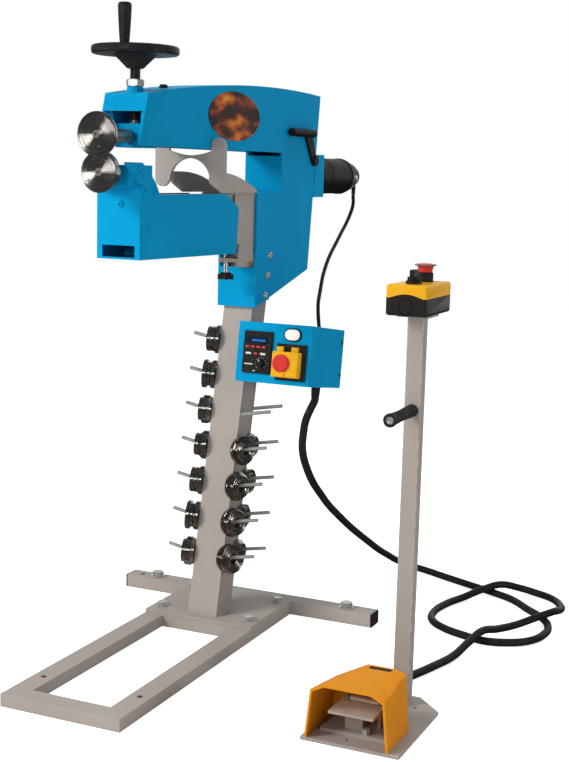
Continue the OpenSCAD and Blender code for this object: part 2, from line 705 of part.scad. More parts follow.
module upper_gear() color(steel) on_head() translate([0, 0, roll_gap])
  along(gear_front, gear_front + gear_t) rotate(-90) gear_outline(shaft_d + 2 * run_fit, 0.5);

// Upper roll assembly, which tilts about the rear bearing
module rear_bearing() color(steel) on_head() translate([0, tilt_back, roll_gap]) difference() {
  intersection() {
    sphere(r = bearing_r, $fn = 64);
    ycyl(bearing_r + 1, -bearing_t / 2, bearing_t / 2);
  }
  ycyl(shaft_d / 2 + run_fit, -bearing_t, bearing_t);
}
block_low = 21;
block_high = 23;
block_front = screw_reach + 22;
block_rear = screw_reach - 30;
module bearing_block() color(blue) on_head() difference() {
  translate([-guide_in + slide_gap, -block_front, roll_gap - block_low])
    cube([2 * (guide_in - slide_gap), block_front - block_rear, block_low + block_high]);
  translate([0, 0, roll_gap]) ycyl(shaft_d / 2 + run_fit, -block_front - 1, -block_rear + 1);
}
roll_wall = 7;
roll_screw_d = 8;
roll_head_d = 14;
roll_head_h = 4;
collar_d = 32;
// Shaft end, face and screw of a roll whose front face is at y = -front and whose width is t
module roll_end(front, t) {
  difference() {
    ycyl(die_bore / 2, -front + roll_wall + 0.2, -front + t + 1);
    ycyl(roll_screw_d / 2 + 0.1, -front, -front + t);
  }
  ycyl(roll_screw_d / 2, -front + roll_head_h, -front + t - 1);
  ycyl(roll_head_d / 2, -front, -front + roll_head_h);
}
module roll_bore(front, t) {
  ycyl(die_bore / 2 + run_fit, -front + roll_wall, -front + t + 1);
  ycyl(roll_screw_d / 2 + 0.1, -front - 1, -front + t);
  ycyl(roll_head_d / 2 + 0.3, -front - 1, -front + roll_head_h);
}
module upper_shaft() color(steel) on_head() translate([0, 0, roll_gap]) {
  roll_end(roll_reach, roll_t);
  ycyl(shaft_d / 2, -roll_reach + roll_t, tilt_back + bearing_t / 2 + 12);
}
module upper_roll() color(steel) on_head() translate([0, 0, roll_gap]) difference() {
  union() {
    ycyl(flange_d / 2, -roll_reach, -roll_reach + flange_t);
    ycyl(roll_gap - low_roll_d / 2 - nip, -roll_reach + flange_t, -roll_reach + roll_t);
  }
  roll_bore(roll_reach, roll_t);
}
low_face = roll_reach - flange_t - slide_gap;
low_roll_t = roll_t - flange_t;
module lower_spindle() color(steel) on_head() {
  roll_end(low_face, low_roll_t);
  ycyl(collar_d / 2, -low_face + low_roll_t, -low_reach - 27 - slide_gap);
  ycyl(shaft_d / 2, -low_face + low_roll_t, -block_back - 4);
}
module lower_roll() color(steel) on_head() difference() {
  ycyl(low_roll_d / 2, -low_face, -low_face + low_roll_t);
  roll_bore(low_face, low_roll_t);
}

// Adjusting screw, which rises with the upper roll as the handwheel is turned
pad_low = roll_gap + block_high + 0.3;
pad_t = 6;
nut_h = 13;
wheel_low = wheel_up - wheel_rim_h / 2;
module thrust_pad() color(steel) on_head() translate([0, -screw_reach, pad_low]) cylinder(h = pad_t,
  d = screw_d - 2);
module adjusting_screw() color(black) on_head() translate([0, -screw_reach, 0]) {
  translate([0, 0, pad_low + pad_t + 0.2]) cylinder(h = wheel_up + 4 - pad_low - pad_t, d = screw_d);
  translate([0, 0, boss_top + 0.5]) difference() {
    cylinder(h = nut_h, r = nut_af / 2 / cos(30), $fn = 6);
    translate([0, 0, -1]) cylinder(h = nut_h + 2, d = screw_d + 0.2);
  }
}
wheel_r = wheel_d / 2;
stud_d = 8;
hub_r = screw_d / 2 + 7;
hub_drop = 25;
module handwheel() color(black) on_head() translate([0, -screw_reach, 0]) {
  rotate_extrude($fn = 96) polygon([
    [screw_d / 2 + 0.1, wheel_low - hub_drop], [hub_r, wheel_low - hub_drop],
    [hub_r + 4, wheel_low - hub_drop + 6], [hub_r + 24, wheel_low],
    [wheel_r - 3, wheel_low], [wheel_r, wheel_low + 4], [wheel_r, wheel_low + wheel_rim_h - 4],
    [wheel_r - 3, wheel_low + wheel_rim_h], [handle_r - 16, wheel_low + wheel_rim_h],
    [handle_r - 20, wheel_low + wheel_rim_h - 6], [hub_r + 4, wheel_low + wheel_rim_h - 6],
    [hub_r, wheel_low + wheel_rim_h], [screw_d / 2 + 0.1, wheel_low + wheel_rim_h]]);
  rotate(handle_turn) translate([handle_r, 0, wheel_low + wheel_rim_h - 1]) cylinder(h =
    handle_len - 6, d = stud_d);
}
module handwheel_handle() color(black) on_head() translate([0, -screw_reach,
  wheel_low + wheel_rim_h + slide_gap])
  rotate(handle_turn) translate([handle_r, 0, 0]) rotate_extrude() polygon([
    [stud_d / 2 + run_fit, 0], [handle_d * 0.36, 0], [handle_d * 0.4, handle_len * 0.15],
      [handle_d / 2, handle_len * 0.85],
    [handle_d / 2, handle_len - 4], [handle_d / 2 - 3, handle_len], [0, handle_len], [0,
      handle_len - 5],
    [stud_d / 2 + run_fit, handle_len - 5]]);

// Gauge: fence, side cheeks and clamp plate, which slide along the lower arm
fence_low = -27;
arch_mid = -15;
web_top = arm_under - 4;
web_dip = 9;
ear_out = in_w + 5;
ear_top = 4;
ear_flat = 40;
ear_rear = socket_front + 2;
cheek_in = in_w - 1 - ear_t;
flange_low = spine_bot + 30;
flange_th = 8;
dip_r = (fence_in * fence_in + web_dip * web_dip) / (2 * web_dip);
ear_steps = 12;
function ear_z(y) = ear_top - pow(max(0, y + fence_reach - ear_flat), 2) / (2 * ear_r);
module fence_outline() {
  both_sides() {
    translate([fence_in, fence_low + bar_w / 2]) square([bar_w, bar_h - bar_w]);
    for (z = [fence_low + bar_w / 2, fence_low + bar_h - bar_w / 2]) translate([fence_in + bar_w / 2,
      z]) circle(d = bar_w);
  }
  difference() {
    translate([-fence_in - 1, arch_mid]) square([2 * fence_in + 2, web_top - arch_mid]);
    translate([0, arch_mid]) circle(r = fence_in - 2);
    translate([0, web_top - web_dip + dip_r]) circle(r = dip_r, $fn = 96);
  }
}
module gauge_fence() color(grey) on_head() difference() {
  union() {
    along(-fence_reach - fence_t / 2, -fence_reach + fence_t / 2) fence_outline();
    both_sides() {
      across(ear_out - ear_t, ear_out) polygon(concat(
        [[-fence_reach, -18], [-fence_reach, ear_top]],
        [for (i = [0:ear_steps]) let (y =
          -fence_reach + ear_flat + (fence_reach - ear_flat - ear_rear) * i / ear_steps) [y, ear_z(y)]],
        [[-ear_rear, -low_top + 2], [-fence_reach + 48, -low_top + 2]]));
      translate([cheek_in, -fence_reach + 58, -low_top + 2]) cube([ear_out - cheek_in,
        fence_reach - 58 - ear_rear, 3]);
      translate([cheek_in, -low_rear - 6, -low_bot + 14]) cube([ear_t, low_rear + 6 - ear_rear,
        low_bot - low_top - 10]);
    }
    translate([cheek_in, -clamp_reach - clamp_d - 6, -flange_low]) cube([ear_t,
      clamp_reach + clamp_d + 6 - ear_rear, flange_low - low_top]);
    translate([-clamp_d / 2 - 5, -clamp_reach - clamp_d - 6, -flange_low])
      cube([clamp_d / 2 + 5 + cheek_in + ear_t, clamp_reach + clamp_d + 6 - ear_rear, flange_th]);
  }
  translate([0, -clamp_reach, -flange_low - 1]) cylinder(h = flange_th + 2, d = clamp_d + 2 * run_fit);
}
clamp_reach = 115;
module gauge_screw() color(black) on_head() translate([0, -clamp_reach, 0]) {
  translate([0, 0, -flange_low - 24]) cylinder(h = flange_low + 24 - spine_bot - slide_gap, d =
    clamp_d);
  translate([0, 0, -flange_low - 38]) difference() {
    cylinder(h = 14, d = clamp_knob_d);
    for (a = [0:60:300]) rotate(a) translate([clamp_knob_d / 2 + 3, 0, -1]) cylinder(h = 16, d = 12);
  }
}

// Clutch lever on the right side of the head
lever_arm = 62;
lever_fwd = 25;
lever_t = 6;
lever_x = half_w + slide_gap;
module clutch_lever() color(black) on_head() translate([0, lever_y, lever_z]) {
  xcyl(lever_pin_d / 2, in_w - 3, lever_x + 1);
  xcyl(12, lever_x, lever_x + lever_t + 3);
  across(lever_x, lever_x + lever_t) polygon([[-12, -8], [9, -8], [3 - lever_fwd, lever_arm], [-lever_fwd - 36, lever_arm]]);
  translate([lever_x + lever_grip_d / 2 + 1, 0, lever_arm]) {
    ycyl(lever_grip_d / 2, -lever_grip_len - lever_fwd, -lever_fwd);
    translate([0, -lever_grip_len - lever_fwd, 0]) sphere(d = lever_grip_d);
  }
}

// Control box beside the column, measured from its front bottom edge
box_x = col_w / 2;
module control_box() color(blue) on_box() difference() {
  translate([box_x, 0, 0]) cube([box_w, box_d, box_h]);
  translate([box_x + box_wall, box_wall, box_wall])
    cube([box_w - 2 * box_wall, box_d - 2 * box_wall, box_h - 2 * box_wall]);
  translate([inv_x - 0.2, -1, inv_z - 0.2]) cube([inv_w + 0.4, box_wall + 2, inv_h + 0.4]);
}
inv_x = box_x + 17;
inv_z = 20;
inv_depth = 110;
inv_proud = 6;
knob_x = inv_x + inv_w * 0.68;
knob_z = inv_z + inv_h * 0.24;
knob_pin_d = 6;
module inverter() color(black) on_box() difference() {
  translate([inv_x, -inv_proud, inv_z]) cube([inv_w, inv_depth, inv_h]);
  translate([knob_x, 0, knob_z]) ycyl(knob_pin_d / 2 + run_fit, -inv_proud - 1, 7);
}
module speed_knob() color(black) on_box() translate([knob_x, 0, knob_z]) {
  ycyl(knob_pin_d / 2, -inv_proud - 2, 6);
  ycyl(speed_knob_d / 2, -inv_proud - 13, -inv_proud - slide_gap);
}
lamp_x = box_x + box_w * 0.75;
lamp_z = box_h * 0.83;
lamp_h = 28;
lamp_w = 40;
lamp_t = 7;
module pilot_lamp() color("white") on_box() translate([lamp_x, 0, lamp_z]) {
  for (s = [-1, 1]) translate([s * (lamp_w - lamp_h) / 2, 0, 0]) ycyl(lamp_h / 2, -lamp_t, 0);
  translate([-(lamp_w - lamp_h) / 2, -lamp_t, -lamp_h / 2]) cube([lamp_w - lamp_h, lamp_t, lamp_h]);
}
sw_x = box_x + box_w - sw_w - 7;
sw_z = 10;
sw_t = 4;
flap_w = sw_w - 7;
flap_h = sw_h - 16;
flap_x = sw_x - 2;
flap_z = sw_z + 6;
hinge_z = flap_z + flap_h;
hinge_r = 5;
hinge_y = -sw_t - hinge_r;
hinge_pin_d = 5;
knuckle_w = 8;
flap_back = -sw_t - slide_gap;
link_w = 14;
module switch_base() color(black) on_box() {
  translate([sw_x, -sw_t, sw_z]) cube([sw_w, sw_t, sw_h]);
  for (s = [-1, 1]) translate([flap_x + flap_w / 2 + s * (flap_w / 2 - 14) - knuckle_w / 2, hinge_y,
    hinge_z])
    difference() {
      union() {
        xcyl(hinge_r, 0, knuckle_w);
        translate([0, 0, -hinge_r]) cube([knuckle_w, hinge_r, 2 * hinge_r]);
      }
      xcyl(hinge_pin_d / 2 + run_fit, -1, knuckle_w + 1);
    }
}
module switch_flap() color(yellow) on_box() {
  difference() {
    translate([flap_x, flap_back - flap_t, flap_z]) cube([flap_w, flap_t, flap_h - hinge_r - 2]);
    translate([flap_x + 3, flap_back - flap_t + 3, flap_z + 3]) cube([flap_w - 6, flap_t,
      flap_h - hinge_r - 8]);
  }
  translate([flap_x + flap_w / 2, hinge_y, hinge_z]) {
    xcyl(hinge_pin_d / 2, -flap_w / 2 + 8, flap_w / 2 - 8);
    translate([-link_w / 2, -flap_t + hinge_r - 0.5, -hinge_r - 3]) cube([link_w, flap_t - hinge_r,
      hinge_r + 5]);
  }
  translate([flap_x + flap_w * 0.36, 0, flap_z + flap_h * 0.48])
    ycyl(pad_d / 2, flap_back - flap_t - 6, flap_back - flap_t + 1);
}

// Pedal stand, measured from the post's middle
stand_front = -232;
stand_left = -111;
stand_right = 76;
stand_back = 43;
stand_cut = 54;
module stand_plate() color(grey) on_stand() difference() {
  linear_extrude(stand_plate_t) polygon([[stand_left, stand_front], [stand_right, stand_front],
    [stand_right, stand_back - stand_cut], [stand_right - stand_cut, stand_back],
    [stand_left + stand_cut, stand_back], [stand_left, stand_back - stand_cut]]);
  for (p = [[-29, -204], [30, -10]]) translate([p[0], p[1], -1]) cylinder(h = stand_plate_t + 2, d = 9);
}
head_plate_t = 4;
head_plate_w = 60;
module stand_post() color(grey) on_stand() {
  difference() {
    translate([-post_w / 2, -post_d / 2, stand_plate_t]) cube([post_w, post_d, post_h - stand_plate_t]);
    translate([-post_w / 2 + 2, -post_d / 2 + 2, stand_plate_t - 1]) cube([post_w - 4, post_d - 4,
      post_h]);
    translate([0, 0, grip_h]) ycyl(4.2, -post_d / 2 - 1, 0);
  }
  translate([-head_plate_w / 2, -head_plate_w / 2, post_h]) cube([head_plate_w, head_plate_w, head_plate_t]);
}
module post_grip() color(black) on_stand() translate([0, -post_d / 2, grip_h]) {
  rotate([90, 0, 0]) rotate_extrude() polygon([[0, 0], [grip_d / 2 + 1, 0], [grip_d / 2, 12],
    [grip_d / 2 - 2, grip_len * 0.3],
    [grip_d / 2, grip_len * 0.8], [grip_d / 2 + 2, grip_len - 5], [grip_d / 2, grip_len], [0,
      grip_len]]);
  ycyl(4, -1, 8);
}
station_x = -4;
station_y = 12;
station_z = post_h + head_plate_t;
lid_z = station_z + station_base_h;
lid_top = lid_z + station_lid_h;
estop_y = 44;
selector_y = -19;
estop_collar_r = 15;
estop_stem_r = 11;
estop_collar_h = 17;
selector_r = 14.5;
selector_collar_h = 6;
shell = 3;
module station_block(h) translate([station_x - station_w / 2, station_y - station_len / 2, 0])
  cube([station_w, station_len, h]);
module station_base() color(black) on_stand() {
  translate([0, 0, station_z]) difference() {
    station_block(station_base_h);
    translate([station_x - station_w / 2 + shell, station_y - station_len / 2 + shell, shell])
      cube([station_w - 2 * shell, station_len - 2 * shell, station_base_h]);
  }
  translate([station_x, estop_y, lid_top]) difference() {
    cylinder(h = estop_collar_h, r = estop_collar_r);
    translate([0, 0, -1]) cylinder(h = estop_collar_h + 2, r = estop_stem_r + run_fit);
  }
  translate([station_x, selector_y, lid_top]) difference() {
    cylinder(h = selector_collar_h, r = selector_r);
    translate([0, 0, -1]) cylinder(h = selector_collar_h + 2, r = 5 + run_fit);
  }
}
module station_lid() color(yellow) on_stand() difference() {
  translate([0, 0, lid_z]) station_block(station_lid_h);
  translate([station_x - station_w / 2 + shell, station_y - station_len / 2 + shell, lid_z - 1])
    cube([station_w - 2 * shell, station_len - 2 * shell, station_lid_h + 1 - shell]);
  translate([station_x, estop_y, lid_z]) cylinder(h = station_lid_h + 1, r = estop_stem_r + run_fit);
  translate([station_x, selector_y, lid_z]) cylinder(h = station_lid_h + 1, r = 5 + run_fit);
}
module estop_button() color(red) on_stand() translate([station_x, estop_y, lid_top]) {
  translate([0, 0, -station_lid_h / 2]) cylinder(h =
    station_lid_h / 2 + estop_collar_h + estop_travel + 1, r = estop_stem_r);
  translate([0, 0, estop_collar_h + estop_travel + 0.5]) rotate_extrude() polygon([
    [0, 0], [estop_d * 0.34, 0], [estop_d * 0.4, 5], [estop_d / 2, 8], [estop_d / 2, 10],
      [estop_d * 0.42, 13], [0, 14]]);
}
module selector_knob() color(black) on_stand() translate([station_x, selector_y, lid_top]) {
  translate([0, 0, -8]) cylinder(h = 8 + selector_collar_h + 2, r = 5);
  translate([0, 0, selector_collar_h + slide_gap]) {
    cylinder(h = 6, r = 12);
    translate([-4.5, -12, 6]) cube([9, 24, 13]);
  }
}
guard_front = -231;
guard_back = -120;
guard_l = -103;
guard_r = 55;
guard_top = 108;
guard_shoulder = 97;
guard_cut = 33;
guard_lean = 9;
hood_top = 118;
hood_l = -27;
hood_r = 25;
hood_side = -87;
hood_side_z = 86;
// Outlines of the guard across the stand, drawn in by d all round: the wide mouth and the raised hood
module mouth_outline(d) polygon([[guard_l + d, stand_plate_t],
  [guard_l + guard_lean + d, guard_shoulder - d],
  [guard_l + guard_cut + d / 2, guard_top - d], [guard_r - guard_cut - d / 2, guard_top - d],
  [guard_r - guard_lean - d, guard_shoulder - d], [guard_r - d, stand_plate_t]]);
module hood_outline(d) polygon([[guard_l + d, stand_plate_t], [hood_side + d, hood_side_z - d],
  [hood_l + d / 2, hood_top - d], [hood_r - d / 2, hood_top - d],
  [guard_r - guard_lean - d, hood_top - 6 - d], [guard_r - d, stand_plate_t]]);
module guard_hull(d, y0, y1) hull() {
  along(y0, y0 + 0.5) mouth_outline(d);
  along(y1 - 0.5, y1) hood_outline(d);
}
module pedal_guard() color(yellow) on_stand() difference() {
  guard_hull(0, guard_front, guard_back);
  guard_hull(guard_wall, guard_front - 1, guard_back - guard_wall);
  translate([guard_l + guard_wall, guard_front - 1, stand_plate_t - 1])
    cube([guard_r - guard_l - 2 * guard_wall, guard_back - guard_front - guard_wall + 1, 4]);
}
treadle_x = -22;
pin_y = -142;
pin_z = 56;
pin_d = 8;
lug_t = 6;
foot_x = -88;
foot_y = -192;
foot_w = 130;
foot_d = 66;
foot_t = 6;
stop_x = -4;
stop_d = 8;
treadle_t = 5;
module pedal_base() color(grey) on_stand() {
  difference() {
    union() {
      translate([foot_x, foot_y, stand_plate_t]) cube([foot_w, foot_d, foot_t]);
      for (s = [-1, 1]) translate([treadle_x + s * (treadle_w / 2 - 12) - lug_t / 2, pin_y - 9,
        stand_plate_t]) cube([lug_t, 18, pin_z + 2]);
    }
    translate([treadle_x, pin_y, pin_z]) xcyl(pin_d / 2 + run_fit, -treadle_w, treadle_w);
    translate([stop_x, foot_y + 10, 0]) cylinder(h = stand_plate_t + foot_t + 1, d = stop_d + 0.4);
  }
  translate([treadle_x, pin_y, pin_z]) xcyl(pin_d / 2, -treadle_w / 2 + 2, treadle_w / 2 - 2);
  translate([treadle_x - 26, pin_y - 32, stand_plate_t + foot_t]) cube([34, 20, 26]);
  translate([stop_x, foot_y + 10, stand_plate_t + foot_t]) hex_bolt(13, 10, stop_d, foot_t - 0.5);
}
hub_gap = lug_t / 2 + slide_gap;
module treadle() color(grey) on_stand() difference() {
  union() {
    translate([treadle_x - treadle_w / 2, pin_y - treadle_len, pin_z - 4]) cube([treadle_w,
      treadle_len - pin_d - 4, treadle_t]);
    translate([treadle_x, pin_y, pin_z]) {
      xcyl(pin_d, -treadle_w / 2 + 12 + hub_gap, treadle_w / 2 - 12 - hub_gap);
      translate([-treadle_w / 2 + 12 + hub_gap, -pin_d - 6, -4]) cube([treadle_w - 24 - 2 * hub_gap,
        pin_d + 6, treadle_t]);
    }
  }
  translate([treadle_x, pin_y, pin_z]) xcyl(pin_d / 2 + run_fit, -100, 100);
}

// Cords: hand-chosen routes, swept as round tubes
lead_d = 9;
cable_d = 17;
gland_len = 24;
cap_gland_y = motor_end + cap_len * 0.5;
cap_side = 15;
relief_len = 20;
bottom_gland = [box_x + box_w - 17, 88];
back_gland = [box_x + box_w / 2, box_h * 0.55];
pedal_gland = [-41, 42];
// World place of a point given in the control box's own frame
function box_pt(x, y, z) = [x, col_y(box_z) - box_fwd + y * cos(box_lean) + z * sin(box_lean),
  box_z + z * cos(box_lean) - y * sin(box_lean)];
cord_gap = 0.2;
motor_exit = [cap_side, head_y + cap_gland_y, axis_h - cap_d / 2 - relief_len - cord_gap];
box_back_exit = box_pt(back_gland[0], box_d + gland_len + cord_gap, back_gland[1]);
box_bottom_exit = box_pt(bottom_gland[0], bottom_gland[1], -relief_len - cord_gap);
pedal_exit = [stand_x + pedal_gland[0], -stand_reach + guard_back + gland_len + cord_gap,
  pedal_gland[1]];
lead_bend = [[0, 0, -8], [0, 2, -19], [1, -6, -34], [3, -24, -49], [5, -45, -64], [7, -69, -79],
  [10, -97, -93], [14, -126, -107], [18, -155, -121], [22, -185, -135], [27, -214, -148],
  [33, -243, -161], [39, -269, -174]];
lead_loop = [[-61, 202, 167], [-54, 178, 154], [-47, 156, 142], [-40, 134, 129], [-33, 112, 117],
  [-26, 92, 105], [-19, 76, 93], [-13, 64, 80], [-9, 58, 66], [-6, 56, 51], [-3, 55.4, 36], [-1.5, 53.1, 23],
  [-0.5, 46.5, 11.5], [0, 36.4, 3], [0, 24, -1.5], [0, 11.9, -1.73]];
lead_route = concat([motor_exit], [for (v = lead_bend) motor_exit + v], [for (v = lead_loop)
  box_back_exit + v],
  [box_back_exit]);
cable_drop = [[0, -1.2, -7.9], [-7, -6, -27], [-15, -14, -54], [-16, -22, -81], [-16, -26, -104],
  [-13, -26, -129], [-7, -18, -158], [-1, 2, -191], [3, 36, -223]];
cable_floor = [[195, 28, 254], [199, 86, 215], [201, 145, 179], [204, 206, 144], [207, 268, 110],
  [211, 328, 77], [217, 383, 49], [231, 420, 27], [256, 438, 14], [292, 437, 9], [366, 401, 9],
  [440, 366, 9], [505, 336, 9], [560, 304, 9], [610, 252, 9], [655, 206, 9], [682, 152, 9], [686, 98,
    9],
  [668, 42, 9], [630, 8, 9], [580, -6, 9], [530, 8, 9], [478, 32, 9], [438, 72, 9], [424, 118, 9],
    [430, 196, 9],
  [456, 262, 12], [490, 318, 22], [520, 352, 27], [555, 376, 18], [600, 380, 10], [642, 358, 9], [674,
    306, 12],
  [686, 252, 20], [678, 205, 27], [652, 164, 22], [618, 116, 14], [592, 58, 18], [574, 2, 28], [562,
    -60, 20],
  [550, -130, 10], [532, -200, 9]];
cable_end = [[17, 234, -32], [5, 174, -27], [1, 114, -20], [0, 54, -6], [0, 22, 0]];
cable_route = concat([box_bottom_exit], [for (v = cable_drop) box_bottom_exit + v], cable_floor,
  [for (v = cable_end) pedal_exit + v], [pedal_exit]);
function spline(p, i, t) = let (n = len(p) - 1, a = p[max(i - 1, 0)], b = p[i], c = p[i + 1], d =
  p[min(i + 2, n)])
  0.5 * ((2 * b) + (c - a) * t + (2 * a - 5 * b + 4 * c - d) * t * t + (3 * b - a - 3 * c + d) * t * t * t);
function route_points(p, k) = concat([for (i = [0:len(p) - 2], j = [0:k - 1]) spline(p, i, j / k)],
  [p[len(p) - 1]]);
function unit(v) = v / norm(v);
function tangent(q, i) = unit(q[min(i + 1, len(q) - 1)] - q[max(i - 1, 0)]);
function carried(u, t) = unit(u - t * (u * t));
function frames(q, i, u) = i == len(q) ? [] : let (v = carried(u, tangent(q, i))) concat([v],
  frames(q, i + 1, v));
// Round tube along the points q
module tube(q, d, sides) {
  u = frames(q, 0, [1, 0.02, 0.01]);
  n = len(q);
  pts = [for (i = [0:n - 1], k = [0:sides - 1]) let (t = tangent(q, i), w = cross(t, u[i]), a =
    k * 360 / sides)
    q[i] + d / 2 * (cos(a) * u[i] + sin(a) * w)];
  walls = [for (i = [0:n - 2], k = [0:sides - 1]) let (a = i * sides + k, b =
    i * sides + (k + 1) % sides)
    each [[a, b + sides, a + sides], [a, b, b + sides]]];
  ends = concat([for (k = [1:sides - 2]) [0, k + 1, k]],
    [for (k = [1:sides - 2]) [(n - 1) * sides, (n - 1) * sides + k, (n - 1) * sides + k + 1]]);
  polyhedron(points = pts, faces = concat(walls, ends), convexity = 10);
}
module motor_lead() color(black) tube(route_points(lead_route, 1), lead_d, 10);
module pedal_cable() color(black) tube(route_points(cable_route, 1), cable_d, 10);
module gland(d, l) {
  cylinder(h = l * 0.45, r = d * 0.85, $fn = 6);
  translate([0, 0, l * 0.45]) cylinder(h = l * 0.55, r1 = d * 0.75, r2 = d * 0.55);
}
module relief(d, l) cylinder(h = l, r1 = d * 0.6, r2 = d * 0.53);
module cable_glands() color(black) {
  on_head() translate([cap_side, cap_gland_y, -cap_d / 2]) difference() {
    union() {
      rotate([180, 0, 0]) relief(lead_d, relief_len);
      cylinder(h = cap_d / 2, r = lead_d * 0.6);
    }
    translate([-cap_side, 0, cap_d / 2]) ycyl(cap_d / 2 + 0.05, -20, 20);
  }
  on_box() translate([bottom_gland[0], bottom_gland[1], 0]) rotate([180, 0, 0]) relief(cable_d,
    relief_len);
  on_box() translate([back_gland[0], box_d, back_gland[1]]) rotate([-90, 0, 0]) gland(lead_d,
    gland_len);
  on_box() translate([box_x + box_w * 0.25, box_d, box_h * 0.3]) rotate([-90, 0, 0]) gland(lead_d + 3,
    gland_len);
  on_stand() translate([pedal_gland[0], guard_back, pedal_gland[1]]) rotate([-90, 0, 0])
    gland(cable_d, gland_len);
}

base_frame();
rear_crossbar();
crossbar_plugs();
column_base_plate();
base_bolts();
column();
die_pegs();
stored_dies_left();
stored_dies_right();
head_side_left();
head_side_right();
head_top_cover();
head_front_cap();
head_cross_plates();
rear_cover();
column_socket();
frame_screws();
arm_spine();
arm_side_left();
arm_side_right();
arm_front_plate();
roll_bearing_block();
motor_mount();
gearbox();
motor_body();
motor_cap();
motor_gear();
rear_bearing();
bearing_block();
upper_shaft();
upper_gear();
upper_roll();
lower_spindle();
lower_roll();
thrust_pad();
adjusting_screw();
handwheel();
handwheel_handle();
gauge_fence();
gauge_screw();
clutch_lever();
control_box();
inverter();
speed_knob();
pilot_lamp();
switch_base();
switch_flap();
stand_plate();
stand_post();
post_grip();
station_base();
station_lid();
estop_button();
selector_knob();
pedal_guard();
pedal_base();
treadle();
cable_glands();
motor_lead();
pedal_cable();
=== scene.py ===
# Motor-driven bead roller on a leaning column, with its foot-pedal stand.
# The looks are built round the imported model, in metres, piece by piece as the machine is put together.
import json
import math

import bmesh
import bpy
from mathutils import Matrix, Vector


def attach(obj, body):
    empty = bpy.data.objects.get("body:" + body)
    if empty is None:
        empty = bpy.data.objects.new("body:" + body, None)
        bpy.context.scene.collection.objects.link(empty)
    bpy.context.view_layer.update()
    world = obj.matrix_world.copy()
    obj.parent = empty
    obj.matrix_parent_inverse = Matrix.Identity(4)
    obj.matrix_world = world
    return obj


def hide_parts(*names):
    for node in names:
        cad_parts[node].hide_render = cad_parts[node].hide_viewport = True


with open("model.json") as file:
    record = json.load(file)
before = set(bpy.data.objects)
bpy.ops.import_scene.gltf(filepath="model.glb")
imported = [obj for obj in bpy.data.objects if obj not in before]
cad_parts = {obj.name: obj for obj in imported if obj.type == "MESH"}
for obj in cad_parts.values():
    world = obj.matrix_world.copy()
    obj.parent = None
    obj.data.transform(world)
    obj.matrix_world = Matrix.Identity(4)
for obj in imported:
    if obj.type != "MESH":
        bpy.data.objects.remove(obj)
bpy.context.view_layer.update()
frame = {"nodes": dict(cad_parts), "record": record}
carrier = {node: body for body, nodes in frame["record"]["behaviour"]["bodies"].items() for node in nodes}

# Camera: stands to the right of the machine at chest height and looks a little down on it.
# The long lens keeps the column and the stand upright in a frame of 569 by 762.
turn, dip, tip = math.radians(24.16), math.radians(8.87), math.radians(1.5)
back = Vector((math.sin(turn) * math.cos(dip), -math.cos(turn) * math.cos(dip), math.sin(dip)))
level = Vector((0, 0, 1)).cross(back).normalized()
rise = back.cross(level)
across = math.cos(tip) * level + math.sin(tip) * rise
upward = math.cos(tip) * rise - math.sin(tip) * level
bpy.ops.object.select_all(action="DESELECT")
bpy.ops.object.camera_add()
camera = bpy.context.object
camera.name = "camera"
eye = (1.318, -2.736, 1.000)
camera.matrix_world = Matrix(
    [[across[i], upward[i], back[i], eye[i]] for i in range(3)] + [[0, 0, 0, 1]])
camera.data.sensor_fit = "VERTICAL"
camera.data.sensor_height = 36
camera.data.lens = 63.83
bpy.context.scene.camera = camera


# Cords: a thin motor lead hangs from the motor's end to the back of the control box, and a thick pedal
# cable drops from the box, lies in loose loops on the floor and runs into the pedal. Both are black PVC.
class Tone:
    """A socket inside a finish. Sums written on it add their Math nodes."""

    def __init__(self, tree, socket=None):
        self.tree, self.socket = tree, socket

    def node(self, kind, settings=None, sockets=None, output=0):
        made = self.tree.nodes.new(kind)
        for name, value in (settings or {}).items():
            if name == "stops":
                ramp = made.color_ramp.elements
                while len(ramp) < len(value):
                    ramp.new(0.5)
                for stop, (place, colour) in zip(ramp, value):
                    stop.position, stop.color = place, colour
            else:
                setattr(made, name, value)
        for name, value in (sockets or {}).items():
            if isinstance(value, Tone):
                self.tree.links.new(value.socket, made.inputs[name])
            else:
                made.inputs[name].default_value = value
        return Tone(self.tree, made.outputs[output] if made.outputs else None)

    def maths(self, operation, a, b):
        return self.node("ShaderNodeMath", {"operation": operation}, {0: a, 1: b})

    def __add__(self, other):
        return self.maths("ADD", self, other)

    def __radd__(self, other):
        return self.maths("ADD", other, self)

    def __sub__(self, other):
        return self.maths("SUBTRACT", self, other)

    def __rsub__(self, other):
        return self.maths("SUBTRACT", other, self)

    def __mul__(self, other):
        return self.maths("MULTIPLY", self, other)

    def __rmul__(self, other):
        return self.maths("MULTIPLY", other, self)

    def noise(self, scale, detail, stretch=(1, 1, 1)):
        spot = self.node("ShaderNodeTexCoord", output=3)
        if stretch != (1, 1, 1):
            spot = self.node("ShaderNodeMapping", {}, {"Vector": spot, "Scale": stretch})
        return self.node("ShaderNodeTexNoise", {}, {"Vector": spot, "Scale": scale, "Detail": detail})

    def between(self, low, high):
        """This value stretched so that low becomes 0 and high becomes 1."""
        return self.node("ShaderNodeMapRange", {}, {0: self, 1: low, 2: high})

    def blend(self, first, second):
        """The first colour where this value is 0, the second where it is 1."""
        return self.node("ShaderNodeMix", {"data_type": "RGBA"}, {0: self, 6: first, 7: second}, 2)

    def bump(self, strength, depth):
        return self.node("ShaderNodeBump", {}, {"Strength": strength, "Distance": depth, "Height": self})

    def surface(self, **sockets):
        names = {name.replace("_", " "): value for name, value in sockets.items()}
        skin = self.node("ShaderNodeBsdfPrincipled", {}, names)
        self.node("ShaderNodeOutputMaterial", {}, {"Surface": skin})


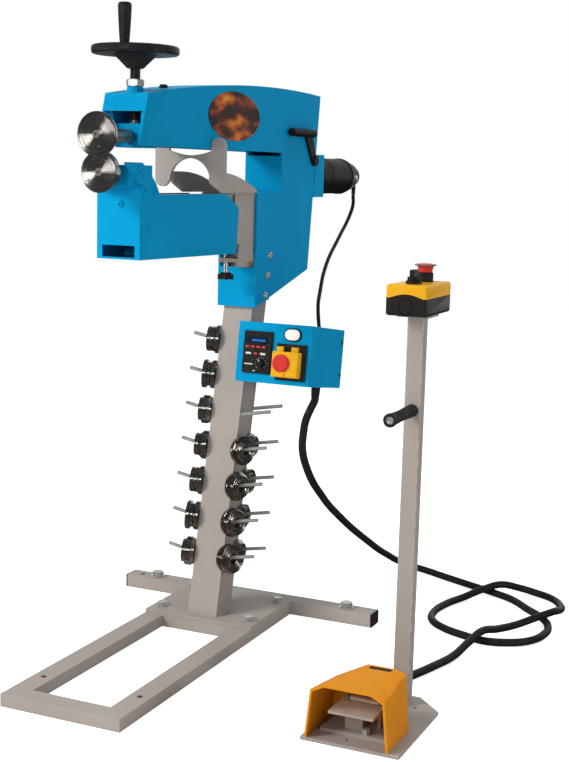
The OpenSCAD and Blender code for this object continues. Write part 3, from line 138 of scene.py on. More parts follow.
def finish(name):
    made = bpy.data.materials.new(name)
    made.use_nodes = True
    made.node_tree.nodes.clear()
    return made, Tone(made.node_tree)


def shade(colour, factor):
    return tuple(min(1.0, c * factor) for c in colour[:3]) + (1.0,)


def moulded(name, colour, roughness, grain=900, depth=0.00012, dust=0.12):
    """Plastic or rubber from a mould: fine grain, faint dust and uneven gloss."""
    made, tone = finish(name)
    cloud = tone.noise(14, 4).between(0.35, 0.7)
    grainy = tone.noise(grain, 3)
    dusty = (cloud * tone.noise(120, 3).between(0.4, 0.75)) * dust
    base = tone.noise(30, 3).blend(shade(colour, 0.88), shade(colour, 1.1))
    tone.surface(
        Base_Color=dusty.blend(base, (0.42, 0.4, 0.37, 1)),
        Roughness=roughness + cloud * 0.1 + (grainy - 0.5) * 0.08, Specular_IOR_Level=0.1,
        Normal=grainy.bump(0.35, depth))
    return made


cord_black = moulded("cord_black", (0.012, 0.012, 0.013), 0.36, 1500, 0.00006, 0.05)


def cord(name, node, diameter, route):
    line = bpy.data.curves.new(name, "CURVE")
    line.dimensions = "3D"
    line.bevel_depth = diameter / 2
    line.bevel_resolution = 5
    line.resolution_u = 10
    line.use_fill_caps = True
    spline = line.splines.new("BEZIER")
    spline.bezier_points.add(len(route) - 1)
    for point, place in zip(spline.bezier_points, route):
        point.co = Vector(place) * 0.001
        point.handle_left_type = point.handle_right_type = "AUTO"
    piece = bpy.data.objects.new(name, line)
    bpy.context.scene.collection.objects.link(piece)
    line.materials.append(cord_black)
    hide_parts(node)
    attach(piece, carrier[node])
    return piece


cord("motor_lead_cord", "motor_lead", 0.009, [
    (15, 575.07, 941.3), (15, 575.07, 933.3), (15, 577.1, 922.3), (16, 569.1, 907.3), (18, 551.1, 892.3),
    (20, 530.1, 877.3), (22, 506.1, 862.3), (25, 478.1, 848.3), (29, 449.1, 834.3), (33, 420.1, 820.3),
    (37, 390.1, 806.3), (42, 361.1, 793.3), (48, 332.1, 780.3), (54, 306.1, 767.3), (60, 281.2, 754.3),
    (67, 257.2, 741.3), (74, 235.2, 729.3), (81, 213.2, 716.3), (88, 191.2, 704.3), (95, 171.2, 692.3),
    (102, 155.2, 680.3), (108, 143.2, 667.3), (112, 137.2, 653.3), (115, 135.2, 638.3), (118, 134.6, 623.3),
    (119.5, 132.3, 610.3), (120.5, 125.7, 598.8), (121, 115.6, 590.3), (121, 103.2, 585.8), (121, 91.1, 585.5),
    (121, 79.2, 587.26)])
cord("pedal_cable_cord", "pedal_cable", 0.017, [
    (190, -55.95, 514.3), (190, -57.1, 506.4), (183, -61.9, 487.3), (175, -69.9, 460.3), (174, -77.9, 433.3),
    (174, -81.9, 410.3), (177, -81.9, 385.3), (183, -73.9, 356.3), (189, -53.9, 323.3), (193, -19.9, 291.3),
    (195, 28, 254), (199, 86, 215), (201, 145, 179), (204, 206, 144), (207, 268, 110), (211, 328, 77),
    (217, 383, 49), (231, 420, 27), (256, 438, 14), (292, 437, 9), (366, 401, 9), (440, 366, 9), (505, 336, 9),
    (560, 304, 9), (610, 252, 9), (655, 206, 9), (682, 152, 9), (686, 98, 9), (668, 42, 9), (630, 8, 9),
    (580, -6, 9), (530, 8, 9), (478, 32, 9), (438, 72, 9), (424, 118, 9), (430, 196, 9), (456, 262, 12),
    (490, 318, 22), (520, 352, 27), (555, 376, 18), (600, 380, 10), (642, 358, 9), (674, 306, 12),
    (686, 252, 20), (678, 205, 27), (652, 164, 22), (618, 116, 14), (592, 58, 18), (574, 2, 28), (562, -60, 20),
    (550, -130, 10), (532, -200, 9), (512, -269.8, 10), (500, -329.8, 15), (496, -389.8, 22), (495, -449.8, 36),
    (495, -481.8, 42), (495, -503.8, 42)])


# Base frame: two legs, a front bar and an inner bar of rectangular steel tube, welded to a rear crossbar.
# The welds are ground flush and the whole frame is powder coated a warm light grey.
def only(piece):
    bpy.ops.object.select_all(action="DESELECT")
    piece.select_set(True)
    bpy.context.view_layer.objects.active = piece


def smooth(piece, angle=32):
    only(piece)
    bpy.ops.object.shade_smooth_by_angle(angle=math.radians(angle))
    even = piece.modifiers.new("even", "WEIGHTED_NORMAL")
    even.keep_sharp, even.weight = True, 100
    bpy.ops.object.modifier_apply(modifier="even")


def settle(piece, material, slot, *nodes, body=None):
    """Finish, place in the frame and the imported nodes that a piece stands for."""
    piece.data.materials.clear()
    piece.data.materials.append(material)
    if nodes:
        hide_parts(*nodes)
    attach(piece, body or carrier[nodes[0]])
    return piece


def ease_edges(piece, width, segments=2, chosen=None, angle=35):
    """Rounds the sharp edges of a piece that are chosen by their middle and direction, in millimetres,
    and marks the new strips, where paint wears first and where a painted edge highlight goes."""
    only(piece)
    piece.data.materials.clear()
    piece.data.materials.append(None)
    piece.data.materials.append(None)
    bpy.ops.object.mode_set(mode="EDIT")
    bpy.ops.mesh.select_mode(type="EDGE")
    bpy.ops.mesh.select_all(action="DESELECT")
    shape = bmesh.from_edit_mesh(piece.data)
    for edge in shape.edges:
        if len(edge.link_faces) == 2 and edge.calc_face_angle() > math.radians(angle):
            a, b = (v.co * 1000 for v in edge.verts)
            if chosen is None or chosen((a + b) / 2, b - a):
                edge.select_set(True)
    bmesh.update_edit_mesh(piece.data)
    bpy.ops.mesh.bevel(offset=width * 0.001, segments=segments, affect="EDGES", clamp_overlap=True, material=1)
    bpy.ops.object.mode_set(mode="OBJECT")
    rim = piece.data.attributes.get("rim") or piece.data.attributes.new("rim", "FLOAT", "FACE")
    for face in piece.data.polygons:
        if face.material_index == 1:
            rim.data[face.index].value = 1.0
            face.material_index = 0


def rounded(node, width, material, slot, segments=2, chosen=None, name=None, first=None):
    """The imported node's own shape with its edges eased, as tools and paint leave them."""
    piece = bpy.data.objects.new(name or node + "_skin", frame["nodes"][node].data.copy())
    bpy.context.scene.collection.objects.link(piece)
    only(piece)
    bpy.ops.object.mode_set(mode="EDIT")
    bpy.ops.mesh.select_all(action="SELECT")
    bpy.ops.mesh.remove_doubles(threshold=1e-6)
    bpy.ops.mesh.customdata_custom_splitnormals_clear()
    bpy.ops.mesh.dissolve_limited(angle_limit=math.radians(0.4))
    bpy.ops.object.mode_set(mode="OBJECT")
    if first:
        ease_edges(piece, *first)
    ease_edges(piece, width, segments, chosen)
    smooth(piece)
    return settle(piece, material, slot, node)


def sprayed(name, colour, worn_and_highlit, roughness, gloss, peel=420, depth=0.00025):
    """Paint on steel: faint clouds, orange peel, a few specks, and thin bright edges that are partly wear and
    partly a painted highlight.
    """
    made, tone = finish(name)
    cloud = tone.noise(5, 4).between(0.3, 0.72)
    speck = tone.noise(700, 2).between(0.66, 0.8)
    rim = tone.node("ShaderNodeAttribute", {"attribute_name": "rim"}, {}, 2)
    chipped_and_highlit = rim * tone.noise(60, 5).between(0.42, 0.62)
    base = cloud.blend(shade(colour, 0.93), shade(colour, 1.06))
    base = (speck * 0.35).blend(base, shade(colour, 0.6))
    tone.surface(
        # Edges blend towards a paler tint of the paint: partly wear, partly a painted edge highlight.
        Base_Color=(chipped_and_highlit * 0.55).blend(base, worn_and_highlit),
        Roughness=roughness + cloud * 0.09 - rim * 0.06,
        Specular_IOR_Level=gloss,
        Normal=(tone.noise(peel, 2) + tone.noise(peel * 0.22, 1) * 0.6).bump(0.3, depth))
    return made


coat_grey = sprayed("coat_grey", (0.34, 0.3, 0.268), (0.5, 0.46, 0.42, 1), 0.45, 0.15)
for tubes in ("base_frame", "rear_crossbar"):
    rounded(tubes, 2.4, coat_grey, "grey_paint", 3)
rounded("column_base_plate", 1.2, coat_grey, "grey_paint")

# Crossbar plugs: black rubber caps pressed into the open ends of the crossbar.
# A moulded lip stands round each end face.
rubber = moulded("rubber", (0.018, 0.017, 0.017), 0.55, 700, 0.0002)
rounded("crossbar_plugs", 2.0, rubber, "black_rubber", 3)


# Base bolts: four hexagon bolts on round washers hold the base plate, two larger levelling bolts stand in
# the crossbar. They are bright zinc-plated steel with turned, chamfered heads.
def drawn(name, points):
    """A wire drawn from point to point, in millimetres. It is left open for editing."""
    bpy.ops.object.select_all(action="DESELECT")
    bpy.ops.mesh.primitive_plane_add(size=0.001)
    piece = bpy.context.object
    piece.name = piece.data.name = name
    bpy.ops.object.mode_set(mode="EDIT")
    bpy.ops.mesh.select_mode(type="VERT")
    bpy.ops.mesh.select_all(action="SELECT")
    bpy.ops.mesh.merge(type="CENTER")
    bpy.ops.transform.translate(value=Vector(points[0]) * 0.001)
    for a, b in zip(points, points[1:]):
        step = (Vector(b) - Vector(a)) * 0.001
        bpy.ops.mesh.extrude_region_move(TRANSFORM_OT_translate={"value": step})
    bpy.ops.mesh.select_all(action="SELECT")
    return piece


def eased(outline, radius):
    """An open outline with every corner taken off by a short curve."""
    points, last = [], len(outline) - 1
    for i, p in enumerate(outline):
        if i in (0, last):
            points.append(p)
            continue
        p = Vector(p)
        a, b = Vector(outline[i - 1]) - p, Vector(outline[i + 1]) - p
        reach = min(radius, a.length * 0.45, b.length * 0.45)
        if reach < 0.02 or a.angle(b) > math.radians(165):
            points.append(tuple(p))
            continue
        start, end = p + a.normalized() * reach, p + b.normalized() * reach
        for t in (0, 0.33, 0.67, 1):
            points.append(tuple(start * (1 - t) ** 2 + p * 2 * t * (1 - t) + end * t * t))
    return points


def turned(name, outline, steps, ease=0.0):
    """A piece turned round the upright axis from an outline of radius and height, in millimetres. How far a
    point lies along the outline, and which way is outward there, is kept, so that tool marks can follow it."""
    if ease:
        outline = eased(outline, ease)
    piece = drawn(name, [(r, 0, z) for r, z in outline])
    bpy.ops.mesh.spin(steps=steps, angle=math.tau, center=(0, 0, 0), axis=(0, 0, 1))
    bpy.ops.mesh.select_all(action="SELECT")
    bpy.ops.mesh.remove_doubles(threshold=1e-6)
    bpy.ops.mesh.normals_make_consistent(inside=False)
    bpy.ops.object.mode_set(mode="OBJECT")
    along, run = [0.0], 0.0
    for a, b in zip(outline, outline[1:]):
        run += (Vector(b) - Vector(a)).length
        along.append(run)
    turning = piece.data.attributes.new("turning", "FLOAT", "POINT")
    spoke = piece.data.attributes.new("spoke", "FLOAT_VECTOR", "POINT")
    for vertex in piece.data.vertices:
        x, y, z = vertex.co * 1000
        r = math.hypot(x, y)
        near = min(range(len(outline)), key=lambda i: (outline[i][0] - r) ** 2 + (outline[i][1] - z) ** 2)
        turning.data[vertex.index].value = along[near] * 0.001
        spoke.data[vertex.index].vector = (x / max(r, 0.01), y / max(r, 0.01), 1.0)
    smooth(piece)
    return piece


def placed(piece, matrix):
    only(piece)
    piece.matrix_world = matrix
    bpy.ops.object.transform_apply(location=True, rotation=True, scale=True)
    if "spoke" in piece.data.attributes:
        for mark in piece.data.attributes["spoke"].data:
            mark.vector = matrix.to_3x3() @ mark.vector
    return piece


def another(piece, matrix):
    """A copy with its own mesh, put in its place."""
    twin = piece.copy()
    twin.data = piece.data.copy()
    bpy.context.scene.collection.objects.link(twin)
    return placed(twin, matrix)


def joined(name, pieces):
    only(pieces[0])
    for piece in pieces:
        piece.select_set(True)
    bpy.ops.object.join()
    piece = bpy.context.object
    piece.name = piece.data.name = name
    return piece


def removed(piece):
    bpy.data.objects.remove(piece)


def cut(piece, tool, operation="DIFFERENCE"):
    """Cuts a piece with a tool body, which is then taken away."""
    only(piece)
    knife = piece.modifiers.new("cut", "BOOLEAN")
    knife.operation, knife.object, knife.solver = operation, tool, "EXACT"
    bpy.ops.object.modifier_apply(modifier="cut")
    removed(tool)
    return piece


def shift(x, y, z):
    return Matrix.Translation(Vector((x, y, z)) * 0.001)


def spun(degrees, axis):
    return Matrix.Rotation(math.radians(degrees), 4, axis)


def hexagon(name, across_flats, height):
    """A hexagon head or nut whose corners are turned down at both ends."""
    r = across_flats / 2
    body = turned(name, [(0, 0), (r * 1.1547, 0), (r * 1.1547, height), (0, height)], 6)
    cone = turned(name + "_cone", [
        (0, -0.1), (r * 0.97, -0.1), (r * 1.17, r * 0.13), (r * 1.17, height - r * 0.13), (r * 0.97, height + 0.1),
        (0, height + 0.1)], 48)
    return cut(body, cone, "INTERSECT")


def bright(name, colour, roughness):
    """Bare or plated metal: cloudy gloss, hairline scratches and a little tarnish."""
    made, tone = finish(name)
    cloud = tone.noise(25, 4).between(0.3, 0.75)
    hair = tone.noise(300, 4, (1, 1, 9))
    tone.surface(
        Base_Color=cloud.blend(shade(colour, 0.85), shade(colour, 1.05)),
        Metallic=0.65, Roughness=roughness + cloud * 0.12 + (hair - 0.5) * 0.1,
        Normal=hair.bump(0.12, 0.0001))
    return made


zinc = bright("zinc", (0.56, 0.55, 0.52), 0.24)


def washer_bolt(washer_d, washer_t, flats, height):
    head = hexagon("bolt_head", flats, height)
    ring = turned("bolt_washer", [(0, 0), (washer_d / 2, 0), (washer_d / 2, washer_t), (0, washer_t)], 40, 0.5)
    flange = turned("bolt_face", [(0, 0), (flats * 0.48, 0), (flats * 0.48, 0.6), (0, 0.6)], 32)
    dish = turned("bolt_dish", [(0, -0.6), (flats * 0.3, -0.6), (flats * 0.34, 0.1), (0, 0.1)], 32)
    head = cut(placed(head, shift(0, 0, 0.6)), placed(dish, shift(0, 0, height + 0.6)))
    on_washer = shift(0, 0, washer_t)
    return joined("washer_bolt", [ring, placed(head, on_washer), placed(flange, on_washer)])


plate_top, bar_top = 33, 30
plate_bolt = washer_bolt(24, 2.5, 19, 7.4)
level_bolt = washer_bolt(34, 3, 24, 9.4)
bolts = [another(plate_bolt, shift(x, y, plate_top) @ spun(x + y, "Z")) for x in (-107, 107) for y in (-195, -44)]
bolts += [another(level_bolt, shift(x, 0, bar_top) @ spun(x, "Z")) for x in (-228, 258)]
removed(plate_bolt)
removed(level_bolt)
base_bolts = joined("base_bolts_plated", bolts)
smooth(base_bolts)
settle(base_bolts, zinc, "steel", "base_bolts")

# Column: square steel tube that leans back, with round rolled corners and a small gusset behind its foot.
# It is welded to the base plate, and the weld shows as a rippled bead under the same grey coat.
lean, foot_y = math.radians(12.6), -173
ON_COLUMN = shift(0, foot_y, plate_top) @ Matrix.Rotation(-lean, 4, "X")
rounded("column", 0.8, coat_grey, "grey_paint", 2, None, None,
        (5.0, 5, lambda m, d: d.length > 300 and abs(abs(m.x) - 35) < 0.2))


def weld(start, end, size=3.2):
    """A row of overlapping ripples, as a welder leaves them."""
    start, end = Vector(start), Vector(end)
    run = end - start
    pitch = 2.6
    count = max(4, int(run.length / pitch))
    outline = []
    for i in range(count * 4 + 1):
        phase = (i % 4) / 4
        taper = min(1.0, (min(i, count * 4 - i) + 0.6) / 3)
        outline.append((size * taper * (0.82 + 0.18 * math.sin(math.pi * phase)), run.length * i / (count * 4)))
    bead = turned("bead", [(0, 0)] + outline + [(0, run.length)], 10)
    return placed(bead, shift(*start) @ run.to_track_quat("Z", "Y").to_matrix().to_4x4())


reach = 35 / math.cos(lean)
front, rear = foot_y - reach, foot_y + reach
beads = [weld((-33, front, plate_top), (33, front, plate_top)),
         weld((35, front + 3, plate_top), (35, rear - 3, plate_top)),
         weld((-35, front + 3, plate_top), (-35, rear - 3, plate_top)),
         weld((-33, rear, plate_top), (-4, rear, plate_top)),
         weld((4, rear, plate_top), (33, rear, plate_top))]
beads += [weld((x, rear + 2, plate_top), (x, rear + 54, plate_top), 2.4) for x in (4, -4)]
welds = joined("column_welds", beads)
settle(welds, coat_grey, "grey_paint", body="machine")

# Storage pegs: plain steel rods let into the column at a slight upward tilt, one row on the left and pairs on
# the right. Their ends are rounded off.
rod = bright("rod", (0.55, 0.53, 0.5), 0.45)
rounded("die_pegs", 1.6, rod, "steel", 3)


# Stored rolls: spare rolls of hardened steel hang on the pegs by their bores. Each is turned on a lathe, with
# flanges, grooves and a plain bore, and the tool marks run round it.
def lathe_steel(name, colour):
    """Turned steel: fine and broad tool marks follow the outline, and faint stains lie over them."""
    made, tone = finish(name)
    along = tone.node("ShaderNodeAttribute", {"attribute_name": "turning"}, {}, 2)
    rings, broad = (tone.node("ShaderNodeTexNoise", {"noise_dimensions": "1D"},
                              {"W": along * per_metre, "Scale": 1.0, "Detail": detail})
                    for per_metre, detail in ((2500.0, 3.0), (260.0, 2.0)))
    stain = tone.noise(45, 4).between(0.45, 0.75)
    base = broad.blend(shade(colour, 0.8), shade(colour, 1.12))
    outward = tone.node("ShaderNodeAttribute", {"attribute_name": "spoke"}, {}, 1)
    outward = tone.node("ShaderNodeVectorTransform", {"vector_type": "VECTOR"}, {0: outward})
    groove = tone.node("ShaderNodeVectorMath", {"operation": "SCALE"}, {0: outward, "Scale": (rings - 0.5) * 1.7})
    facing = tone.node("ShaderNodeNewGeometry", output=1)
    ridged = tone.node("ShaderNodeVectorMath", {"operation": "ADD"}, {0: facing, 1: groove})
    tone.surface(
        Base_Color=(stain * 0.3).blend(base, shade(colour, 0.55)),
        Metallic=1.0, Roughness=0.1 + broad * 0.06 + stain * 0.06,
        Normal=tone.node("ShaderNodeVectorMath", {"operation": "NORMALIZE"}, {0: ridged}))
    return made


roll_steel = lathe_steel("roll_steel", (0.4, 0.37, 0.33))
bore = 11.0


def die(kind, d, t):
    """A spare roll with its axis upright, from an outline of radius and width."""
    r = d / 2
    side = {
        0: [(r, 0), (r, t * 0.3), (r - 4, t * 0.34), (r - 4, t * 0.62), (r - 5, t * 0.64), (r - 5, t * 0.7),
            (r - 4, t * 0.72), (r - 4, t - 1.5), (r - 5.5, t)],
        1: [(r, 0), (r, t * 0.3), (r - 5, t * 0.4), (r - 5, t * 0.6), (r, t * 0.7), (r, t)],
        2: [(r - 4, 0), (r, t * 0.25), (r, t * 0.7), (r - 6, t * 0.7), (r - 6, t)],
        3: [(r, 0), (r, t * 0.35), (r - 7, t * 0.65), (r - 7, t - 1), (r - 8, t)],
    }[kind]
    low, high = side[0][0], side[-1][0]
    outline = [(bore, 1.0), (bore + 1, 0), (17, 0), (17.6, 0.9), (low - 4, 0.9), (low - 3.2, 0)] + side + [
        (high - 3.2, t), (high - 4, t - 0.9), (17.6, t - 0.9), (17, t), (bore + 1, t), (bore, t - 1.0),
        (bore, 1.0)]
    return turned("die", outline, 64, 0.7)


play, tilt = bore - 4.8, math.radians(10)


def hung(spot, kind, d, t, turn, edge, side=1):
    """A spare roll on its peg: it rests on the top of its bore and is turned within its play."""
    sway = math.radians(turn)
    out = (t / 2 + edge * math.sin(sway)) / math.cos(sway) + 1.5
    drop = math.sqrt(play ** 2 - (t / 2 * math.tan(sway)) ** 2) - t / 2 * math.tan(tilt)
    return placed(die(kind, d, t), ON_COLUMN @ spot @ shift(out, 0, out * math.tan(tilt) - drop)
                  @ spun(-turn * side, "Z") @ spun(90, "Y") @ shift(0, 0, -t / 2))


left_dies = [hung(shift(-35, -24, 598 - 79 * i) @ spun(180, "Z"), i % 4, 64, 28, 18.37, 11, -1) for i in range(7)]
settle(joined("stored_dies_left_turned", left_dies), roll_steel, "steel", "stored_dies_left")
right_dies = []
for i in range(1, 5):
    right_dies.append(hung(shift(35, -29, 438 - 79 * i), (i + 1) % 4, 64, 20, 24, 6))
    right_dies.append(hung(shift(35, 29, 455 - 79 * i), (i + 3) % 4, 54, 15, 0, 0))
settle(joined("stored_dies_right_turned", right_dies), roll_steel, "steel", "stored_dies_right")

# Head: a welded box of steel plate with two side plates, a crowned top, a front cap that carries the adjusting
# screw, and a socket that grips the column. The seams are ground away and all of it is sprayed bright blue.
enamel_blue = sprayed("enamel_blue", (0.0025, 0.262, 0.5), (0.05, 0.42, 0.66, 1), 0.36, 0.01, 300, 0.0002)
half_head = 46


def outer(m, d):
    return abs(m.x) > half_head - 0.5


def inner(m, d):
    return abs(m.x) < 40


for side in ("head_side_left", "head_side_right"):
    rounded(side, 1.6, enamel_blue, "blue_paint", 3, outer)
for node, edge, segments in (("head_top_cover", 0.3, 1), ("head_front_cap", 1.2, 2), ("head_cross_plates", 0.6, 1),
                             ("rear_cover", 0.6, 1), ("column_socket", 1.0, 2)):
    rounded(node, edge, enamel_blue, "blue_paint", segments, inner)

# Head screws: button heads with a hexagon socket, sprayed over on the arm and plated through the column socket.
# They are let in from both sides.
head_y, axis_z = -8.932, 988
upper_z = axis_z + 67
ON_HEAD = shift(0, head_y, axis_z)


def button_screw(d):
    r, h = d * 0.85, d * 0.5
    head = turned("button", [
        (0, 0), (r, 0), (r, h * 0.16), (r * 0.94, h * 0.48), (r * 0.73, h * 0.84), (r * 0.45, h), (0, h)], 36)
    socket = turned("socket", [(0, h * 0.35), (d * 0.33, h * 0.35), (d * 0.33, h * 1.1), (0, h * 1.1)], 6)
    return cut(head, socket)


def screws(name, d, places):
    one = button_screw(d)
    copies = []
    for place in places:
        for side in (-1, 1):
            seat = shift(side * half_head, *place) @ spun(side * 90, "Y")
            copies.append(another(one, seat @ spun(place[0] * 7, "Z")))
    removed(one)
    piece = joined(name, copies)
    smooth(piece, 25)
    return piece


arm_y = head_y - 560
socket_screws = screws("socket_screws", 10, [
    (foot_y + (z - plate_top) * math.tan(lean), z) for z in (723, 767, 811)])
settle(socket_screws, zinc, "steel", body="machine")
arm_screws = screws("arm_screws", 8, [
    (arm_y - 10, 989), (arm_y + 12, 956), (arm_y + 54, 956), (arm_y + 31, 885)])
settle(arm_screws, enamel_blue, "steel", "frame_screws")

# Oval plate and oil cap: a generic oval plate with a raised rim is fixed to the right side of the head, and
# a black plug closes the oiling hole behind the adjusting screw.
def raised(name, points, steps):
    """A flat outline built up in steps of inset and height, in millimetres."""
    piece = drawn(name, points)
    bpy.ops.mesh.edge_face_add()
    for inset, lift in steps:
        if inset:
            bpy.ops.mesh.inset(thickness=inset * 0.001, depth=0)
        if lift:
            bpy.ops.mesh.extrude_region_move(TRANSFORM_OT_translate={"value": (0, 0, lift * 0.001)})
    bpy.ops.mesh.select_all(action="SELECT")
    bpy.ops.mesh.normals_make_consistent(inside=False)
    bpy.ops.object.mode_set(mode="OBJECT")
    return piece


def plate_enamel():
    """Warm enamel in soft waves, from near black to amber."""
    made, tone = finish("plate_enamel")
    wave = tone.noise(26, 5, (1, 0.55, 1.6)).between(0.3, 0.72)
    fine = tone.noise(140, 3)
    ramp = tone.node("ShaderNodeValToRGB", {"stops": [
        (0.0, (0.012, 0.008, 0.006, 1)), (0.38, (0.05, 0.012, 0.006, 1)), (0.62, (0.26, 0.05, 0.012, 1)),
        (0.85, (0.52, 0.13, 0.012, 1)), (1.0, (0.62, 0.26, 0.03, 1))]}, {0: wave})
    tone.surface(Base_Color=ramp, Roughness=0.28 + fine * 0.1, Specular_IOR_Level=0.05,
                 Normal=fine.bump(0.1, 0.0001))
    return made


FACE_RIGHT = Matrix(((0, 0, 1, 0), (1, 0, 0, 0), (0, 1, 0, 0), (0, 0, 0, 1)))
wide, high = 236, 100
rim_line = [(wide / 2 * math.cos(a), high / 2 * math.sin(a), 0) for a in [i * math.tau / 72 for i in range(72)]]
badge = raised("oval_plate", rim_line, [(0, 1.4), (4.5, -0.56)])
ease_edges(badge, 0.35, 2)
placed(badge, shift(half_head, -187, 1107) @ FACE_RIGHT)
smooth(badge)
settle(badge, plate_enamel(), "black_metal", body="machine")
oil_cap = placed(turned("oil_cap", [(0, 0), (9, 0), (9, 3), (7.5, 3.6), (7.5, 6), (3, 6.6), (0, 6.6)], 32, 0.6),
                 shift(0, -405, 1151) @ spun(-4, "X"))
bakelite = moulded("bakelite", (0.016, 0.015, 0.014), 0.34, 1100, 0.00008, 0.06)
settle(oil_cap, bakelite, "black_plastic", body="machine")

# Lower arm: a heavy square tube in grey runs out from the head, and two blue cheeks, a front plate with a
# window and a bearing block for the lower roll are screwed and welded round its nose.
def block(name, low, high, edge, segments=3):
    """A block between two corners, in millimetres, with rounded edges."""
    low, high = Vector(low), Vector(high)
    bpy.ops.object.select_all(action="DESELECT")
    bpy.ops.mesh.primitive_cube_add(size=1, location=(low + high) * 0.0005, scale=(high - low) * 0.001)
    piece = bpy.context.object
    piece.name = piece.data.name = name
    bpy.ops.object.transform_apply(location=True, rotation=True, scale=True)
    ease_edges(piece, edge, segments)
    smooth(piece)
    return piece


rounded("arm_spine", 1.5, coat_grey, "grey_paint", 2)
for side in ("arm_side_left", "arm_side_right"):
    rounded(side, 1.4, enamel_blue, "blue_paint", 3, outer)
rounded("arm_front_plate", 0.9, enamel_blue, "blue_paint", 2, lambda m, d: abs(m.x) < 45)
rounded("roll_bearing_block", 1.2, enamel_blue, "blue_paint", 2, inner)
lining = [block("lining", (-40.6, arm_y + 6, 828.3), (40.6, arm_y + 150, 830), 0.3, 1),
          block("lining", (-40.6, arm_y + 88, 830), (40.6, arm_y + 90, 862), 0.3, 1)]
settle(joined("window_lining", lining), enamel_blue, "blue_paint", body="machine")
FACE_FRONT = spun(90, "X")
nose_screw = placed(button_screw(8), shift(5, arm_y, 930) @ FACE_FRONT)
smooth(nose_screw, 25)
settle(nose_screw, enamel_blue, "steel", body="machine")

# Gear motor: a round gearbox, a plain motor body and a tapering die-cast end bell stand one behind the
# other behind the head, closed by a fan cap. They are satin black, and the bell has bare windows.
satin_black = sprayed("satin_black", (0.011, 0.0095, 0.009), (0.12, 0.11, 0.1, 1), 0.4, 0.05, 500, 0.00015)
rounded("motor_mount", 1.6, enamel_blue, "blue_paint", 3)
AT_MOTOR = ON_HEAD @ spun(-90, "X")
gearbox = placed(turned("gearbox_body", [
    (0, 304), (43, 304), (45, 306), (45, 312), (44, 313), (44, 378), (45, 379), (45, 385),
    (0, 385)], 64, 0.8), AT_MOTOR)
settle(gearbox, satin_black, "black_metal", "gearbox")
motor_body = placed(turned("motor_shell", [
    (0, 385), (43, 385), (43.5, 386), (43.5, 501), (45, 502.5), (45, 512), (36, 561.5), (33.5, 562.5), (33, 566),
    (0, 566)], 64, 0.8), AT_MOTOR)
settle(motor_body, satin_black, "black_metal", "motor_body")
motor_cap = placed(turned("motor_fan_cap", [
    (0, 566), (26.5, 566), (26.5, 595), (25.5, 597), (22.5, 598), (22.5, 600.5), (20, 602),
    (0, 602)], 56, 1.0), AT_MOTOR)
settle(motor_cap, satin_black, "black_metal", "motor_cap")
cast = bright("cast", (0.5, 0.49, 0.48), 0.36)
border = [(44.3, 517, a) for a in range(-24, 25, 4)] + [(37.1, 557, a) for a in range(24, -25, -4)]
border = [(r * math.sin(math.radians(a)), r * math.cos(math.radians(a)), y) for r, y, a in border]
bell = []
for angle in (20, 110, 200, 290):
    bell.append(placed(raised("bell_window", border, [(0, -1.6)]), AT_MOTOR @ spun(angle, "Z")))
settle(joined("end_bell_windows", bell), cast, "steel", body="machine")

# Drive inside the head: an equal pair of spur gears, the upper shaft in a tilting bearing, and the bearing
# block that slides in the front cap under the thrust pad. The steel is oiled, the block is sprayed blue.
oiled = bright("oiled", (0.34, 0.32, 0.29), 0.22)
for node in ("motor_gear", "upper_gear", "rear_bearing", "thrust_pad"):
    rounded(node, 0.4, oiled, "steel", 2)
rounded("bearing_block", 1.0, enamel_blue, "blue_paint", 2)

# Rolls: the upper roll with its flange and the plain lower roll are turned from hardened steel and ground.
# A socket screw holds each on its shaft, and a small pin hole is drilled beside the upper one.
def hole(name, r, depth, steps=24):
    return turned(name, [(0, -depth), (r, -depth), (r, 1), (0, 1)], steps)


def dished_screw(node, y, z):
    piece = rounded(node, 0.4, oiled, "steel", 2)
    cut(piece, placed(hole("hex_hole", 4.2, 3.0, 6), shift(0, y, z) @ FACE_FRONT @ spun(20, "Z")))
    smooth(piece, 30)


upper_face, lower_face = head_y - 638, head_y - 629.5
dished_screw("upper_shaft", upper_face, upper_z)
dished_screw("lower_spindle", lower_face, axis_z)
ground = lathe_steel("ground", (0.5, 0.47, 0.43))
upper_roll = turned("upper_roll_turned", [
    (11.05, 0), (28.2, 0), (29.2, 1), (29.2, 15.4), (30, 16), (39.6, 16), (40.5, 16.9), (40.5, 22.2), (38.7, 24),
    (30, 24), (29.4, 23.6), (10.2, 23.6), (9.6, 24), (7.3, 24), (7.3, 20), (4.1, 20), (4.1, 17), (11.05, 17),
    (11.05, 0)], 96, 0.4)
upper_roll = placed(upper_roll, ON_HEAD @ shift(0, -614, 67) @ FACE_FRONT)
cut(upper_roll, placed(hole("pin_hole", 2.8, 6), shift(5, upper_face + 0.4, upper_z - 21) @ FACE_FRONT))
smooth(upper_roll)
settle(upper_roll, ground, "steel", "upper_roll")
lower_roll = turned("lower_roll_turned", [
    (11.05, 0), (36.3, 0), (37.5, 1.2), (37.5, 14.4), (35.9, 16), (25, 16), (24.4, 15.6), (10.2, 15.6), (9.6, 16),
    (7.3, 16), (7.3, 12), (4.1, 12), (4.1, 9), (11.05, 9), (11.05, 0)], 96, 0.4)
lower_roll = placed(lower_roll, ON_HEAD @ shift(0, -613.5, 0) @ FACE_FRONT)
settle(lower_roll, ground, "steel", "lower_roll")

